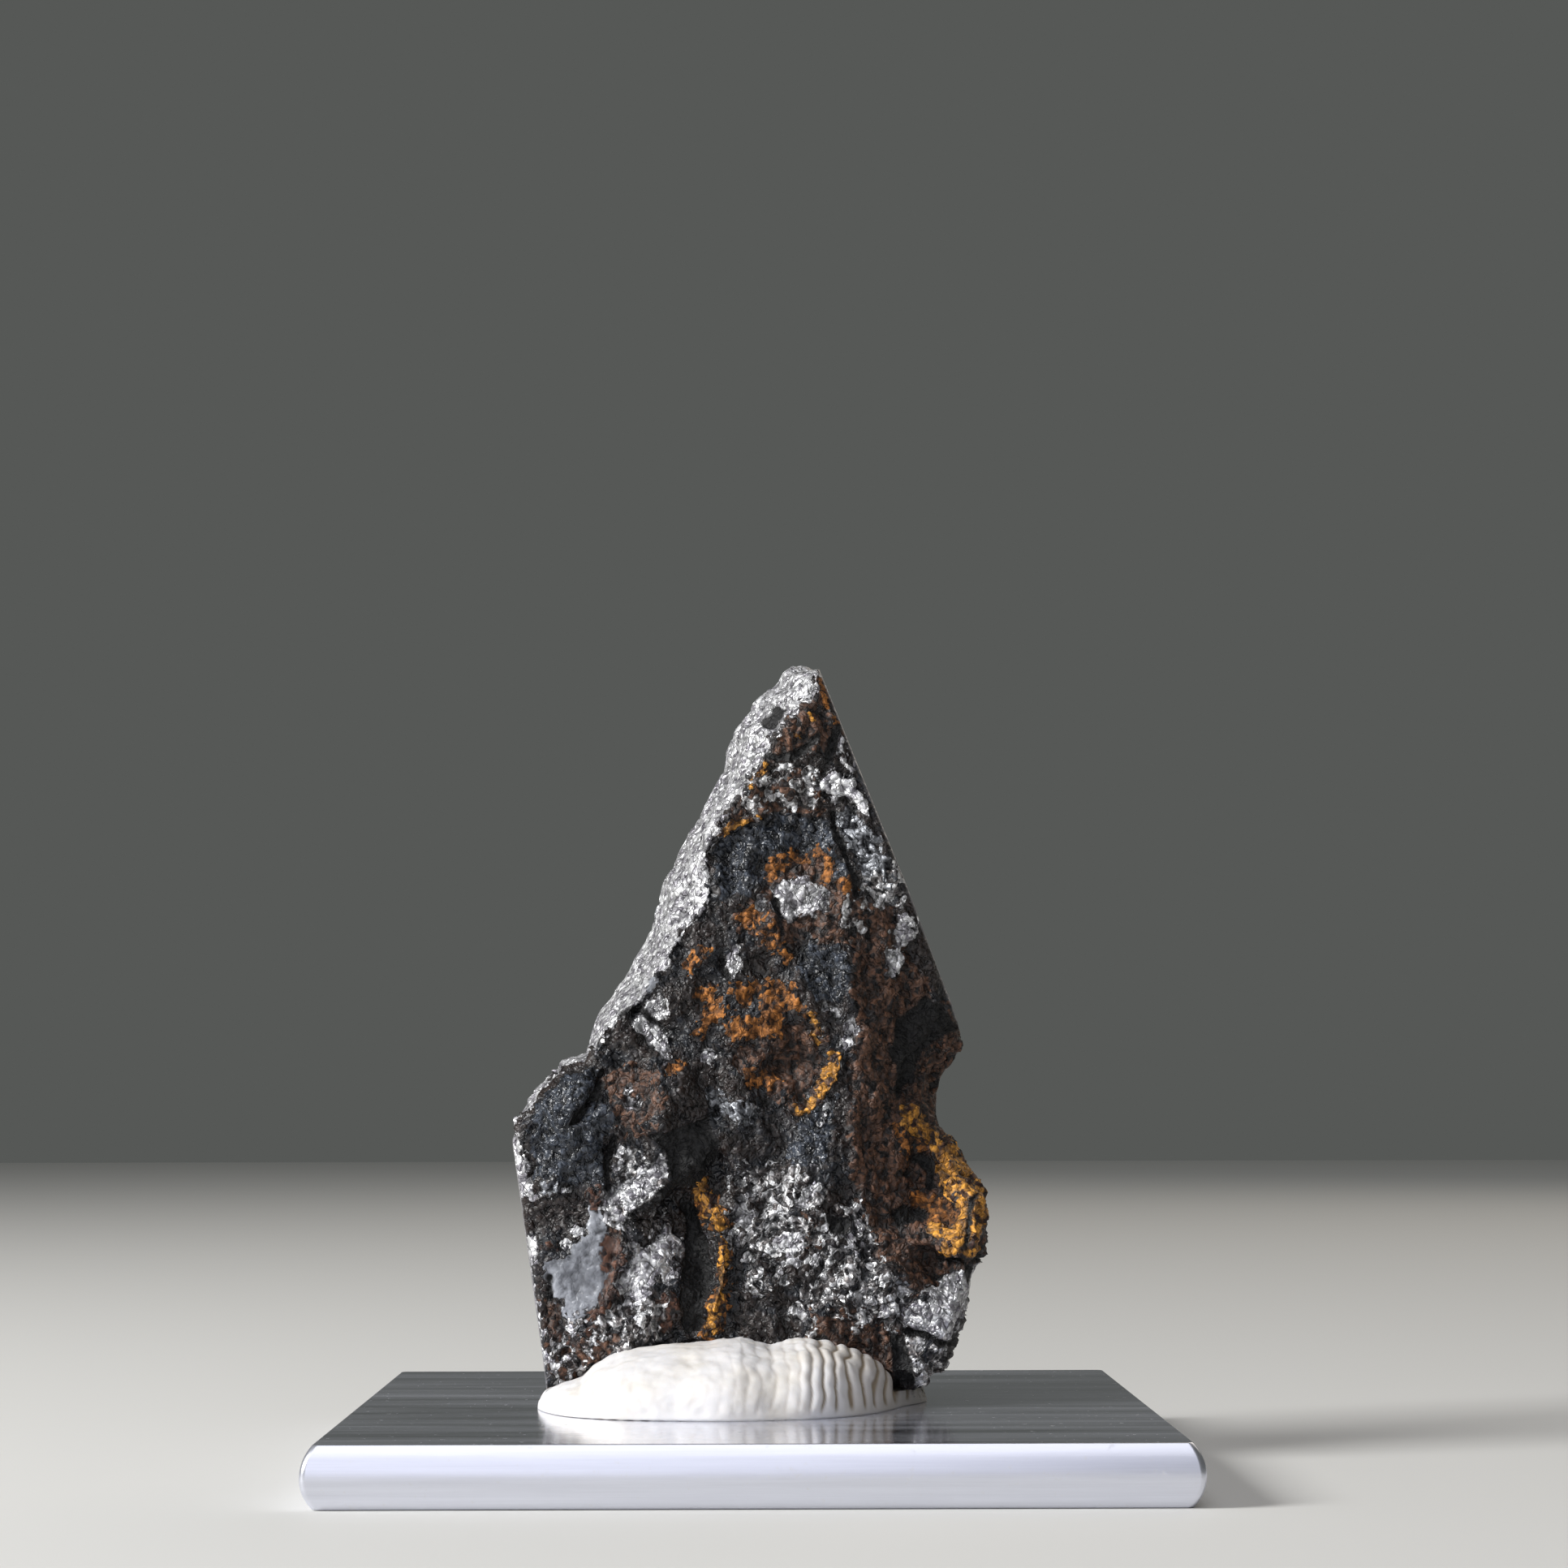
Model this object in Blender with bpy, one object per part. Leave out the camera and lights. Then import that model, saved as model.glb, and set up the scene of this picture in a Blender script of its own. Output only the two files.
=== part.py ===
"""An iron meteorite stood upright in a lump of adhesive putty on a square aluminium display plate.

Sizes are in millimetres and the scene is in metres. The origin is the middle of the plate's underside. +X is
to the right of someone facing the meteorite's crust, +Y points away from them and +Z up.
"""

import math

import bmesh
import bpy
from mathutils import Vector, geometry, noise

MM = 0.001

# Driving dimensions
PLATE_SIDE = 45.0
PLATE_THICKNESS = 3.2
PLATE_SIDE_BULGE = 1.0
PLATE_CORNER_RADIUS = 0.8
BACK_FACE_Y = 3.5
GAP = 0.3
MESH_PITCH = 0.64

# The meteorite's outline seen from the front, clockwise from its lower left corner, as (x, z). The two
# straight stretches are saw cuts, and the rest is broken or weathered.
LEFT_SAW_CUT = [(-11.5, 4.1), (-13.7, 18.6)]
LEFT_SHOULDER = [(-13.6, 19.1), (-12.8, 20.1), (-12.4, 20.8), (-11.7, 21.6), (-10.8, 22.3), (-9.6, 22.9)]
UPPER_LEFT = [
    (-9.4, 23.6), (-9.1, 24.8), (-8.4, 25.8), (-7.4, 27.1), (-6.5, 28.7), (-5.9, 30.0), (-5.5, 31.5),
    (-5.2, 32.7), (-4.6, 33.6), (-4.0, 34.9), (-3.4, 35.9), (-2.7, 37.3), (-1.7, 39.1), (-1.3, 40.7),
    (-1.1, 41.5), (-0.4, 42.4), (0.85, 43.7), (1.5, 44.2), (1.7, 44.8), (2.1, 45.2), (2.7, 45.4),
    (3.4, 45.2),
]
RIGHT_SAW_CUT = [(3.9, 44.7), (11.8, 24.8)]
RIGHT_NOTCH = [
    (12.0, 24.0), (11.85, 22.8), (11.4, 22.1), (10.8, 21.4), (10.6, 20.6), (10.6, 19.7), (10.8, 18.1),
    (11.7, 17.2), (12.5, 15.9), (13.2, 14.6), (13.4, 13.8), (13.2, 12.5), (12.8, 11.4), (12.7, 10.7),
    (12.5, 9.4), (12.1, 8.2), (11.5, 6.6), (10.7, 5.3), (10.0, 4.5), (9.5, 4.1),
]
FOOT = [(5.5, 4.7), (0.0, 4.9), (-6.0, 4.7)]

# Where the lit, broken bevel under the upper left edge meets the crust, from the tip down.
BEVEL_LINE = [
    (3.0, 43.4), (2.6, 42.6), (1.9, 41.3), (1.0, 39.7), (0.2, 38.6), (-0.7, 37.5), (-1.7, 36.3),
    (-2.5, 35.3), (-2.8, 33.8), (-2.5, 32.2), (-3.0, 31.0), (-3.9, 30.0), (-4.5, 28.8), (-5.0, 27.6),
    (-5.8, 26.5), (-6.9, 25.4), (-8.0, 24.4), (-8.8, 23.5),
]
BEVEL_EDGE_DEPTH = -1.3
BROKEN_EDGE = [LEFT_SHOULDER[-1], *UPPER_LEFT]

# Rounded lumps and hollows of the crust: middle (x, z), radii along x and z, and height towards the viewer.
LUMPS = {
    "left pillow": ((-10.0, 18.6), (2.7, 3.6), 0.75),
    "second pillow": ((-4.9, 18.6), (2.8, 3.2), 0.85),
    "valley between the pillows": ((-7.7, 17.0), (0.9, 3.4), -0.35),
    "saddle above the pillows": ((-4.6, 23.6), (3.2, 1.3), -0.45),
    "hollow under the ledge": ((-3.2, 12.6), (0.9, 3.4), -1.0),
    "bare mound": ((-5.9, 11.0), (1.7, 3.2), 0.6),
    "low plate": ((-9.4, 10.5), (2.0, 2.6), 0.35),
    "middle rib": ((3.7, 16.3), (1.2, 4.4), 0.55),
    "hollow beside the rib": ((0.8, 15.6), (1.3, 3.0), -0.4),
    "worn pit": ((2.7, 22.2), (1.9, 2.2), -0.7),
    "upper dish": ((1.0, 33.6), (2.4, 2.6), -0.4),
    "cap": ((2.4, 41.2), (1.5, 1.6), 0.5),
    "notch scoop": ((9.5, 22.0), (1.9, 3.0), -1.5),
    "notch groove": ((10.9, 20.3), (1.2, 1.2), -0.6),
    "knob": ((9.0, 19.0), (0.8, 0.8), 0.7),
    "flange": ((12.5, 14.6), (1.5, 2.7), 1.8),
    "flange hollow": ((9.6, 15.4), (1.6, 2.0), -0.9),
    "flange pocket": ((9.0, 13.7), (1.5, 0.7), -0.6),
    "lower boss": ((6.2, 9.6), (2.6, 2.4), 0.35),
    "corner facet": ((10.4, 8.4), (1.6, 1.6), 0.3),
}

# Sharp steps of the crust: points (x, z) along the top of the step, with the low side on the right of the
# direction they run in, how far it drops, and how far the low side reaches.
LEDGES = {
    "pillow ledge": ([(-7.4, 13.5), (-6.1, 14.2), (-5.2, 14.7), (-4.4, 15.3), (-3.5, 15.9), (-2.7, 16.6),
                      (-1.9, 17.8)], 1.2, 3.0),
    "pit rim": ([(3.2, 25.4), (3.7, 24.3), (4.2, 23.2), (4.6, 22.5), (4.3, 21.4), (3.8, 20.5), (3.1, 19.7),
                 (2.1, 19.4)], 0.6, 1.6),
    "flange ledge": ([(9.3, 12.3), (10.1, 12.0), (11.2, 11.7), (12.6, 11.7)], 1.2, 2.2),
    "upper rim": ([(-2.6, 33.6), (-2.4, 34.6), (-1.3, 35.6), (0.0, 36.1), (1.8, 36.3), (3.6, 36.3),
                   (4.5, 36.9)], 0.2, 2.0),
    "right crack": ([(5.9, 31.2), (5.8, 32.2), (5.5, 33.7), (4.8, 35.0), (4.5, 36.4)], 0.3, 2.0),
    "left crack": ([(-10.2, 18.7), (-9.6, 19.4), (-8.7, 20.7), (-8.2, 22.2)], 0.35, 1.4),
}
STEP_WIDTH = 0.4

# Narrow rusted ridges: points (x, z), height and half width.
RIDGES = {
    "rust ridge": ([(-3.2, 15.6), (-2.8, 15.0), (-2.3, 14.1), (-2.0, 13.3), (-1.7, 12.3), (-1.6, 11.2),
                    (-1.8, 9.9), (-2.1, 8.7), (-2.2, 7.6)], 0.75, 0.45),
}

# Putty: where its edge meets the plate as (x, y), anticlockwise seen from above, and the height of its crest
# over the plate along x.
PUTTY_EDGE = [
    (-11.8, -3.6), (-10.0, -7.9), (-7.3, -9.7), (-4.2, -10.3), (-1.3, -10.6), (1.4, -10.0), (4.0, -9.1),
    (6.2, -7.0), (7.5, -4.5), (8.3, -2.2), (9.8, 0.6), (9.6, 3.8), (7.6, 6.9), (4.2, 8.6), (0.2, 9.1),
    (-4.0, 8.9), (-7.8, 7.4), (-10.2, 4.6), (-11.6, 0.8),
]
PUTTY_CREST = [
    (-11.9, 0.5), (-10.6, 1.3), (-9.4, 1.7), (-8.8, 2.4), (-7.8, 2.95), (-7.1, 3.25), (-5.2, 3.45),
    (-3.0, 3.75), (-0.7, 3.95), (1.0, 3.65), (2.8, 4.0), (4.2, 3.75), (5.4, 3.4), (7.3, 2.95), (8.0, 2.3),
    (8.6, 1.65), (9.5, 1.25), (9.9, 0.7),
]
PUTTY_FULLNESS = 2.4
PUTTY_STATIONS = 26
PUTTY_POINTS_ACROSS = 13

# Finishes: colour as linear red, green, blue, then metallic and roughness.
FINISHES = {
    "bare_aluminium": ((0.60, 0.61, 0.64), 1.0, 0.32),
    "white_putty": ((0.80, 0.78, 0.74), 0.0, 0.55),
    "weathered_iron": ((0.055, 0.050, 0.048), 0.6, 0.45),
}


def make_material(name):
    colour, metallic, roughness = FINISHES[name]
    material = bpy.data.materials.new(name)
    material.use_nodes = True
    shader = material.node_tree.nodes["Principled BSDF"]
    shader.inputs["Base Color"].default_value = (*colour, 1.0)
    shader.inputs["Metallic"].default_value = metallic
    shader.inputs["Roughness"].default_value = roughness
    return material


def make_object(name, bm, material, smooth_angle):
    """Links the mesh as an object in metres, with edges sharper than smooth_angle left sharp."""
    bmesh.ops.recalc_face_normals(bm, faces=bm.faces)
    bmesh.ops.scale(bm, vec=(MM, MM, MM), verts=bm.verts)
    mesh = bpy.data.meshes.new(name)
    bm.to_mesh(mesh)
    bm.free()
    mesh.materials.append(material)
    mesh.shade_smooth()
    mesh.set_sharp_from_angle(angle=smooth_angle)
    made = bpy.data.objects.new(name, mesh)
    bpy.context.scene.collection.objects.link(made)
    return made


def between(points, value):
    """The height at value on a line through points (value, height)."""
    for (x0, h0), (x1, h1) in zip(points, points[1:]):
        if value <= x1:
            share = max(0.0, (value - x0) / (x1 - x0))
            return h0 + (h1 - h0) * share
    return points[-1][1]


def smooth_step(value):
    value = min(1.0, max(0.0, value))
    return value * value * (3 - 2 * value)


def divided(points, pitch):
    """The points with more between them, no further apart than pitch."""
    result = []
    for start, end in zip(points, points[1:]):
        start, end = Vector(start), Vector(end)
        steps = max(1, math.ceil((end - start).length / pitch))
        result += [start.lerp(end, step / steps) for step in range(steps)]
    return [*result, Vector(points[-1])]


def nearest_on(line, point):
    """How far point is from a line of points, on which side of it (positive is left), and how far along it
    the nearest spot is, with the line's whole length."""
    best = (math.inf, 0.0, 0.0)
    along = 0.0
    for start, end in zip(line, line[1:]):
        start, end = Vector(start), Vector(end)
        run = end - start
        share = min(1.0, max(0.0, (point - start).dot(run) / run.length_squared))
        away = point - start.lerp(end, share)
        if away.length < best[0]:
            side = run.x * (point.y - start.y) - run.y * (point.x - start.x)
            best = (away.length, side, along + share * run.length)
        along += run.length
    return (*best, along)


def is_inside(polygon, point):
    inside = False
    for a, b in zip(polygon, polygon[1:] + polygon[:1]):
        if (a[1] > point.y) != (b[1] > point.y):
            inside ^= point.x < a[0] + (b[0] - a[0]) * (point.y - a[1]) / (b[1] - a[1])
    return inside


def end_fade(along, length, reach=1.2):
    return smooth_step(min(along, length - along) / reach)


def crust_depth(point):
    """How far the crust stands towards the viewer, in front of Y = 0, at (x, z)."""
    x, z = point
    depth = 3.4 - 0.055 * (z - 4)
    to_edge = min(nearest_on(edge, point)[0] for edge in (LEFT_SHOULDER, RIGHT_NOTCH))
    depth -= 0.5 * max(0.0, 1 - to_edge / 1.3) ** 2
    depth -= 0.46 * max(0.0, x - 5.6) * smooth_step((33 - z) / 6) * smooth_step((z - 12) / 5)
    depth -= 0.16 * max(0.0, -11 - x)
    for (cx, cz), (rx, rz), height in LUMPS.values():
        depth += height * math.exp(-(((x - cx) / rx) ** 2) - ((z - cz) / rz) ** 2)
    for line, drop, reach in LEDGES.values():
        away, side, along, length = nearest_on(line, point)
        if side < 0 and away < 3 * reach:
            fall = smooth_step(away / STEP_WIDTH) * math.exp(-((away / reach) ** 2))
            depth -= drop * fall * end_fade(along, length)
    for line, height, half_width in RIDGES.values():
        away, _, along, length = nearest_on(line, point)
        depth += height * math.exp(-((away / half_width) ** 2)) * end_fade(along, length)
    depth += 0.22 * noise.noise(Vector((x / 3.1, z / 3.1, 4.0)))
    depth += 0.12 * noise.noise(Vector((x / 1.3, z / 1.3, 9.0)))
    return depth


def front_depth(point):
    """The crust's depth, or that of the broken bevel that runs from it to the upper left edge."""
    depth = crust_depth(point)
    if not is_inside(BROKEN_EDGE + BEVEL_LINE, point):
        return depth
    to_edge = nearest_on(BROKEN_EDGE, point)[0]
    to_crust = nearest_on(BEVEL_LINE, point)[0]
    share = to_edge / (to_edge + to_crust + 1e-6)
    rough = 0.25 * noise.noise(Vector((point.x / 0.9, point.y / 0.9, 2.0)))
    bevel = BEVEL_EDGE_DEPTH + (depth - BEVEL_EDGE_DEPTH) * share**0.85
    return min(bevel + rough * share * (1 - share) * 4, depth)


def outline():
    """The outline's points in order, and for each whether it lies on a saw cut."""
    corners = LEFT_SAW_CUT + LEFT_SHOULDER + UPPER_LEFT + RIGHT_SAW_CUT + RIGHT_NOTCH + FOOT
    points, sawn = [], []
    for start, end in zip(corners, corners[1:] + corners[:1]):
        is_cut = [start, end] in (LEFT_SAW_CUT, RIGHT_SAW_CUT)
        for point in divided([start, end], MESH_PITCH)[:-1]:
            if not is_cut:
                point += Vector((noise.noise(point.to_3d() * 2), noise.noise(point.to_3d() * 2.3))) * 0.12
            points.append(point)
            sawn.append(is_cut)
    return points, sawn


def inset(points, distances):
    """Each point of a clockwise loop moved inwards by its own distance."""
    moved = []
    for index, (point, distance) in enumerate(zip(points, distances)):
        run = points[(index + 1) % len(points)] - points[index - 1]
        moved.append(point + Vector((run.y, -run.x)).normalized() * distance)
    return moved


def front_points(loop):
    """Points inside the loop for the front sheet: along it, along each crease, then a triangular grid."""
    lines = [divided(BEVEL_LINE, MESH_PITCH)]
    for line, _, _ in LEDGES.values():
        top = divided(line, MESH_PITCH * 0.9)
        lines += [top, inset(top, [STEP_WIDTH] * len(top))[1:-1]]
    for line, _, _ in RIDGES.values():
        lines.append(divided(line, MESH_PITCH * 0.8))
    rim = [*loop, loop[0]]
    kept = []
    for point in inset(loop, [0.4] * len(loop)) + [point for line in lines for point in line]:
        if is_inside(loop, point) and nearest_on(rim, point)[0] > 0.34:
            if all((point - other).length > 0.27 for other in kept):
                kept.append(point)
    creases = list(kept)
    rows = int(46 / (MESH_PITCH * 0.866))
    for row in range(rows):
        for column in range(int(30 / MESH_PITCH)):
            point = Vector((-14.5 + (column + row % 2 / 2) * MESH_PITCH, 3.5 + row * MESH_PITCH * 0.866))
            point += 0.12 * Vector((noise.noise(point.to_3d() * 1.7), noise.noise(point.to_3d() * 1.9)))
            if not is_inside(loop, point) or nearest_on(rim, point)[0] < 0.45 * MESH_PITCH:
                continue
            if all((point - other).length > 0.55 * MESH_PITCH for other in creases):
                kept.append(point)
    return kept


def flat_sheet(loop, inner):
    """Triangles that fill the loop and meet at the inner points: corners, which point each was, and faces."""
    corners, _, triangles, sources, _, _ = geometry.delaunay_2d_cdt(
        [*loop, *inner], [], [list(range(len(loop)))], 1, 1e-5
    )
    return corners, [min(source) for source in sources], triangles


def make_meteorite():
    points, sawn = outline()
    natural = [0.0 if cut else 1.0 for cut in sawn]
    front_loop = inset(points, [0.12 + 0.4 * share for share in natural])
    inner = front_points(front_loop)
    corners, sources, triangles = flat_sheet(front_loop, inner)

    bm = bmesh.new()
    rim = {}
    front = []
    for point, source in zip(corners, sources):
        depth = front_depth(point)
        if source < len(points):
            depth -= 0.35 + 0.45 * natural[source]
        front.append(bm.verts.new((point.x, -depth, point.y)))
        if source < len(points):
            rim[source] = (front[-1], depth)
    for triangle in triangles:
        bm.faces.new([front[index] for index in triangle])

    ring = [rim[index][0] for index in range(len(points))]
    for share, lean in ((0.2, 0.6), (0.45, 0.3), (0.72, 0.1), (1.0, 0.0)):
        spots = inset(points, [(0.12 + 0.4 * edge) * lean for edge in natural])
        next_ring = []
        for index, spot in enumerate(spots):
            depth = rim[index][1] * (1 - share) - BACK_FACE_Y * share
            wander = 1.8 * natural[index] * share * (1 - share)
            wander *= noise.noise(Vector((spot.x, spot.y, depth)) * 0.9)
            next_ring.append(bm.verts.new((spot.x + wander, -depth, spot.y - wander)))
        for index in range(len(points)):
            after = (index + 1) % len(points)
            bm.faces.new((ring[index], ring[after], next_ring[after], next_ring[index]))
        ring = next_ring
    _, sources, triangles = flat_sheet(points, [])
    for triangle in triangles:
        bm.faces.new([ring[sources[index]] for index in triangle])
    bmesh.ops.triangulate(bm, faces=bm.faces)
    return make_object("meteorite", bm, make_material("weathered_iron"), math.radians(40))


def rounded_square(half_side, radius):
    """A square's outline with rounded corners, anticlockwise, as (x, y)."""
    points = []
    for corner in range(4):
        turn = corner * math.pi / 2
        middle = half_side - radius
        for step in range(6):
            angle = turn + step / 5 * math.pi / 2
            cx = middle * (math.cos(turn) - math.sin(turn))
            cy = middle * (math.sin(turn) + math.cos(turn))
            points.append((cx + radius * math.cos(angle), cy + radius * math.sin(angle)))
    return points


def make_plate():
    """A square slab whose four sides bulge, so that its edges are blunt and not sharp."""
    half_height = PLATE_THICKNESS / 2
    arc_radius = (half_height**2 + PLATE_SIDE_BULGE**2) / (2 * PLATE_SIDE_BULGE)
    arc_half_angle = math.asin(half_height / arc_radius)
    bm = bmesh.new()
    rings = []
    for step in range(11):
        angle = arc_half_angle * (step / 5 - 1)
        height = half_height + arc_radius * math.sin(angle)
        inboard = arc_radius * (1 - math.cos(angle))
        plan = rounded_square(PLATE_SIDE / 2 - inboard, PLATE_CORNER_RADIUS)
        rings.append([bm.verts.new((x, y, height)) for x, y in plan])
    for low, high in zip(rings, rings[1:]):
        for index in range(len(low)):
            after = (index + 1) % len(low)
            bm.faces.new((low[index], low[after], high[after], high[index]))
    bm.faces.new(rings[0])
    bm.faces.new(rings[-1])
    return make_object("display_plate", bm, make_material("bare_aluminium"), math.radians(20))


def edge_at(x, front):
    """The y of the putty's front or back edge at x."""
    found = []
    for (x0, y0), (x1, y1) in zip(PUTTY_EDGE, PUTTY_EDGE[1:] + PUTTY_EDGE[:1]):
        if min(x0, x1) <= x <= max(x0, x1) and x0 != x1:
            found.append(y0 + (y1 - y0) * (x - x0) / (x1 - x0))
    return min(found) if front else max(found)


def make_putty():
    """A low mound, highest along x, with the slot that the meteorite's foot stands in."""
    left = min(x for x, y in PUTTY_EDGE)
    right = max(x for x, y in PUTTY_EDGE)
    base = PLATE_THICKNESS + GAP
    bm = bmesh.new()
    rows = []
    for station in range(PUTTY_STATIONS + 1):
        share = 0.5 - 0.5 * math.cos(math.pi * (station + 0.35) / (PUTTY_STATIONS + 0.7))
        x = left + (right - left) * share
        front, back = edge_at(x, True), edge_at(x, False)
        crest = PLATE_THICKNESS + between(PUTTY_CREST, x) - base
        row = []
        for step in range(PUTTY_POINTS_ACROSS + 1):
            across = -math.cos(math.pi * step / PUTTY_POINTS_ACROSS)
            height = (1 - abs(across) ** PUTTY_FULLNESS) ** (1 / PUTTY_FULLNESS)
            y = (front + back) / 2 + across * (back - front) / 2
            height *= 1 + 0.05 * noise.noise(Vector((x / 2.5, y / 2.5, 1.0)))
            row.append(bm.verts.new((x, y, base + crest * height)))
        rows.append(row)
    for row, after in zip(rows, rows[1:]):
        for step in range(PUTTY_POINTS_ACROSS):
            bm.faces.new((row[step], after[step], after[step + 1], row[step + 1]))
    bm.faces.new(rows[0])
    bm.faces.new(rows[-1])
    front_edge = [row[0] for row in rows]
    back_edge = [row[-1] for row in rows]
    bm.faces.new([*front_edge, *reversed(back_edge)])
    bmesh.ops.triangulate(bm, faces=bm.faces)
    putty = make_object("putty", bm, make_material("white_putty"), math.radians(60))

    cutter = make_foot_cutter()
    cut = putty.modifiers.new("slot for the foot", "BOOLEAN")
    cut.operation = "DIFFERENCE"
    cut.solver = "EXACT"
    cut.object = cutter
    return putty


def make_foot_cutter():
    """The room that the meteorite's foot takes, larger all round by the gap that touching pieces keep."""
    low = min(z for x, z in FOOT + [LEFT_SAW_CUT[0], RIGHT_NOTCH[-1]])
    left = LEFT_SAW_CUT[0][0] - 1.1 * GAP
    right = RIGHT_NOTCH[-1][0] + 1.1 * GAP
    top = PLATE_THICKNESS + 2 * max(height for x, height in PUTTY_CREST)
    slope_left = (LEFT_SAW_CUT[1][0] - LEFT_SAW_CUT[0][0]) / (LEFT_SAW_CUT[1][1] - LEFT_SAW_CUT[0][1])
    slope_right = (RIGHT_NOTCH[-5][0] - RIGHT_NOTCH[-1][0]) / (RIGHT_NOTCH[-5][1] - RIGHT_NOTCH[-1][1])
    columns = 20
    bm = bmesh.new()
    rings = []
    for height in (low - GAP, top):
        x0 = left + slope_left * (height - low)
        x1 = right + slope_right * (height - low)
        ring = []
        for column in range(columns + 1):
            x = x0 + (x1 - x0) * column / columns
            near = [Vector((x + dx, z / 4)) for dx in (-0.5, 0.0, 0.5) for z in range(16, 32)]
            ring.append(bm.verts.new((x, -max(front_depth(point) for point in near) - GAP, height)))
        for x in (x1, x0):
            ring.append(bm.verts.new((x, BACK_FACE_Y + GAP, height)))
        rings.append(ring)
    for index in range(len(rings[0])):
        after = (index + 1) % len(rings[0])
        bm.faces.new((rings[0][index], rings[0][after], rings[1][after], rings[1][index]))
    bm.faces.new(rings[0])
    bm.faces.new(rings[1])
    cutter = make_object("foot_cutter", bm, make_material("white_putty"), math.radians(30))
    cutter.hide_render = True
    cutter.display_type = "WIRE"
    return cutter


def main():
    for old in list(bpy.data.objects):
        bpy.data.objects.remove(old, do_unlink=True)
    make_plate()
    make_putty()
    make_meteorite()


main()
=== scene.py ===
# %% [markdown]
# # An iron meteorite stood in putty on an aluminium plate
#
# The object is a small end piece of an iron meteorite: two straight saw cuts, a broken edge of bright metal and
# a weathered, rusty crust. A thumb has pressed it into white putty on a square of aluminium bar. The solids of
# the three pieces are loaded as a frame that stays where it is. This script gives each piece its fine surface
# and its finish. All sizes in it are in millimetres until they are handed to Blender, which works in metres.

# %% Load the solids
import math

import bpy
import numpy as np
from mathutils import Matrix, Vector, noise


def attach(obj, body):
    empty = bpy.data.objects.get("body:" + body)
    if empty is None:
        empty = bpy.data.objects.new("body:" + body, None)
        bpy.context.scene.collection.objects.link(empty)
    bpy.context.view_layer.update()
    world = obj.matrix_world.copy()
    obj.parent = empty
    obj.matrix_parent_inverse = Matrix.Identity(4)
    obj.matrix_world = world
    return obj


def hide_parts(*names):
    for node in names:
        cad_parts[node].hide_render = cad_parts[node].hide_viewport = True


MM = 0.001
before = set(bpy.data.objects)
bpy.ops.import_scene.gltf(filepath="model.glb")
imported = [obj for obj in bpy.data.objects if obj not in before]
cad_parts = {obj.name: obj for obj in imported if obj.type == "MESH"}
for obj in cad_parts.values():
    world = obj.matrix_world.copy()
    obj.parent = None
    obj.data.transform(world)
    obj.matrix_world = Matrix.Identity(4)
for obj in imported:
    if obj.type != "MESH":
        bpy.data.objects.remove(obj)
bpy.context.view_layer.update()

# %% [markdown]
# ## The camera
#
# The picture was taken from just above the plate with a long lens. The camera's place was found by fitting the
# plate's eight visible corners, so its numbers are kept as they came out. A camera looks along its own -Z, so
# the rows of its matrix are its right, its up and the reverse of its view.

# %% Set up the camera
PHOTO_SIDE = 1932
FOCAL_LENGTH_IN_PIXELS = 4146.5
SENSOR_WIDTH = 36.0
CAMERA_PLACE = (-0.2414, -191.304, 20.6745)
LOOK_UP, LOOK_RIGHT, ROLL = 0.0908, 0.0107, -0.0017

camera = bpy.data.objects.new("camera", bpy.data.cameras.new("camera"))
bpy.context.scene.collection.objects.link(camera)
camera.data.sensor_width = SENSOR_WIDTH
camera.data.lens = FOCAL_LENGTH_IN_PIXELS / PHOTO_SIDE * SENSOR_WIDTH
camera.data.clip_start = 0.01
view = Vector((math.sin(LOOK_RIGHT) * math.cos(LOOK_UP), math.cos(LOOK_RIGHT) * math.cos(LOOK_UP),
               math.sin(LOOK_UP)))
level_right = Vector((math.cos(LOOK_RIGHT), -math.sin(LOOK_RIGHT), 0.0))
level_up = level_right.cross(view)
right = level_right * math.cos(ROLL) + level_up * math.sin(ROLL)
up = level_up * math.cos(ROLL) - level_right * math.sin(ROLL)
camera.matrix_world = Matrix.Translation(Vector(CAMERA_PLACE) * MM) @ Matrix((right, up, -view)).transposed().to_4x4()
bpy.context.scene.camera = camera
print("lens", round(camera.data.lens, 1), "mm")

# %% [markdown]
# ## Two helpers for materials
#
# Colours are picked as sRGB hex codes, as on a colour card, and Blender's shaders work with linear light, so
# one function turns one into the other. The other adds a node: it sets the node's options, then links or sets
# its inputs. Every material below is built with these two.

# %% Helpers for materials
def colour(code):
    """The linear colour, with full alpha, of an sRGB hex code such as #8A4F1E."""
    parts = [int(code[start : start + 2], 16) / 255 for start in (1, 3, 5)]
    return (*(part / 12.92 if part <= 0.04045 else ((part + 0.055) / 1.055) ** 2.4 for part in parts), 1.0)


def add_node(material, kind, inputs=None, **settings):
    """Adds a node. Inputs are given by name or number, each as a value or as the socket to link."""
    tree = material.node_tree
    node = tree.nodes.new(kind)
    for name, value in settings.items():
        setattr(node, name, value)
    for key, value in (inputs or {}).items():
        if isinstance(value, bpy.types.NodeSocket):
            tree.links.new(value, node.inputs[key])
        else:
            node.inputs[key].default_value = value
    return node


def new_material(name):
    """An empty material, and its coordinates in millimetres on the piece."""
    material = bpy.data.materials.new(name)
    material.use_nodes = True
    material.node_tree.nodes.clear()
    place = add_node(material, "ShaderNodeTexCoord").outputs["Object"]
    return material, add_node(material, "ShaderNodeMapping", {"Vector": place, "Scale": (1 / MM,) * 3}).outputs[0]


def finish_material(material, inputs):
    """Ends a material in one Principled shader with these inputs."""
    shader = add_node(material, "ShaderNodeBsdfPrincipled", inputs)
    add_node(material, "ShaderNodeOutputMaterial", {"Surface": shader.outputs[0]})


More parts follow.
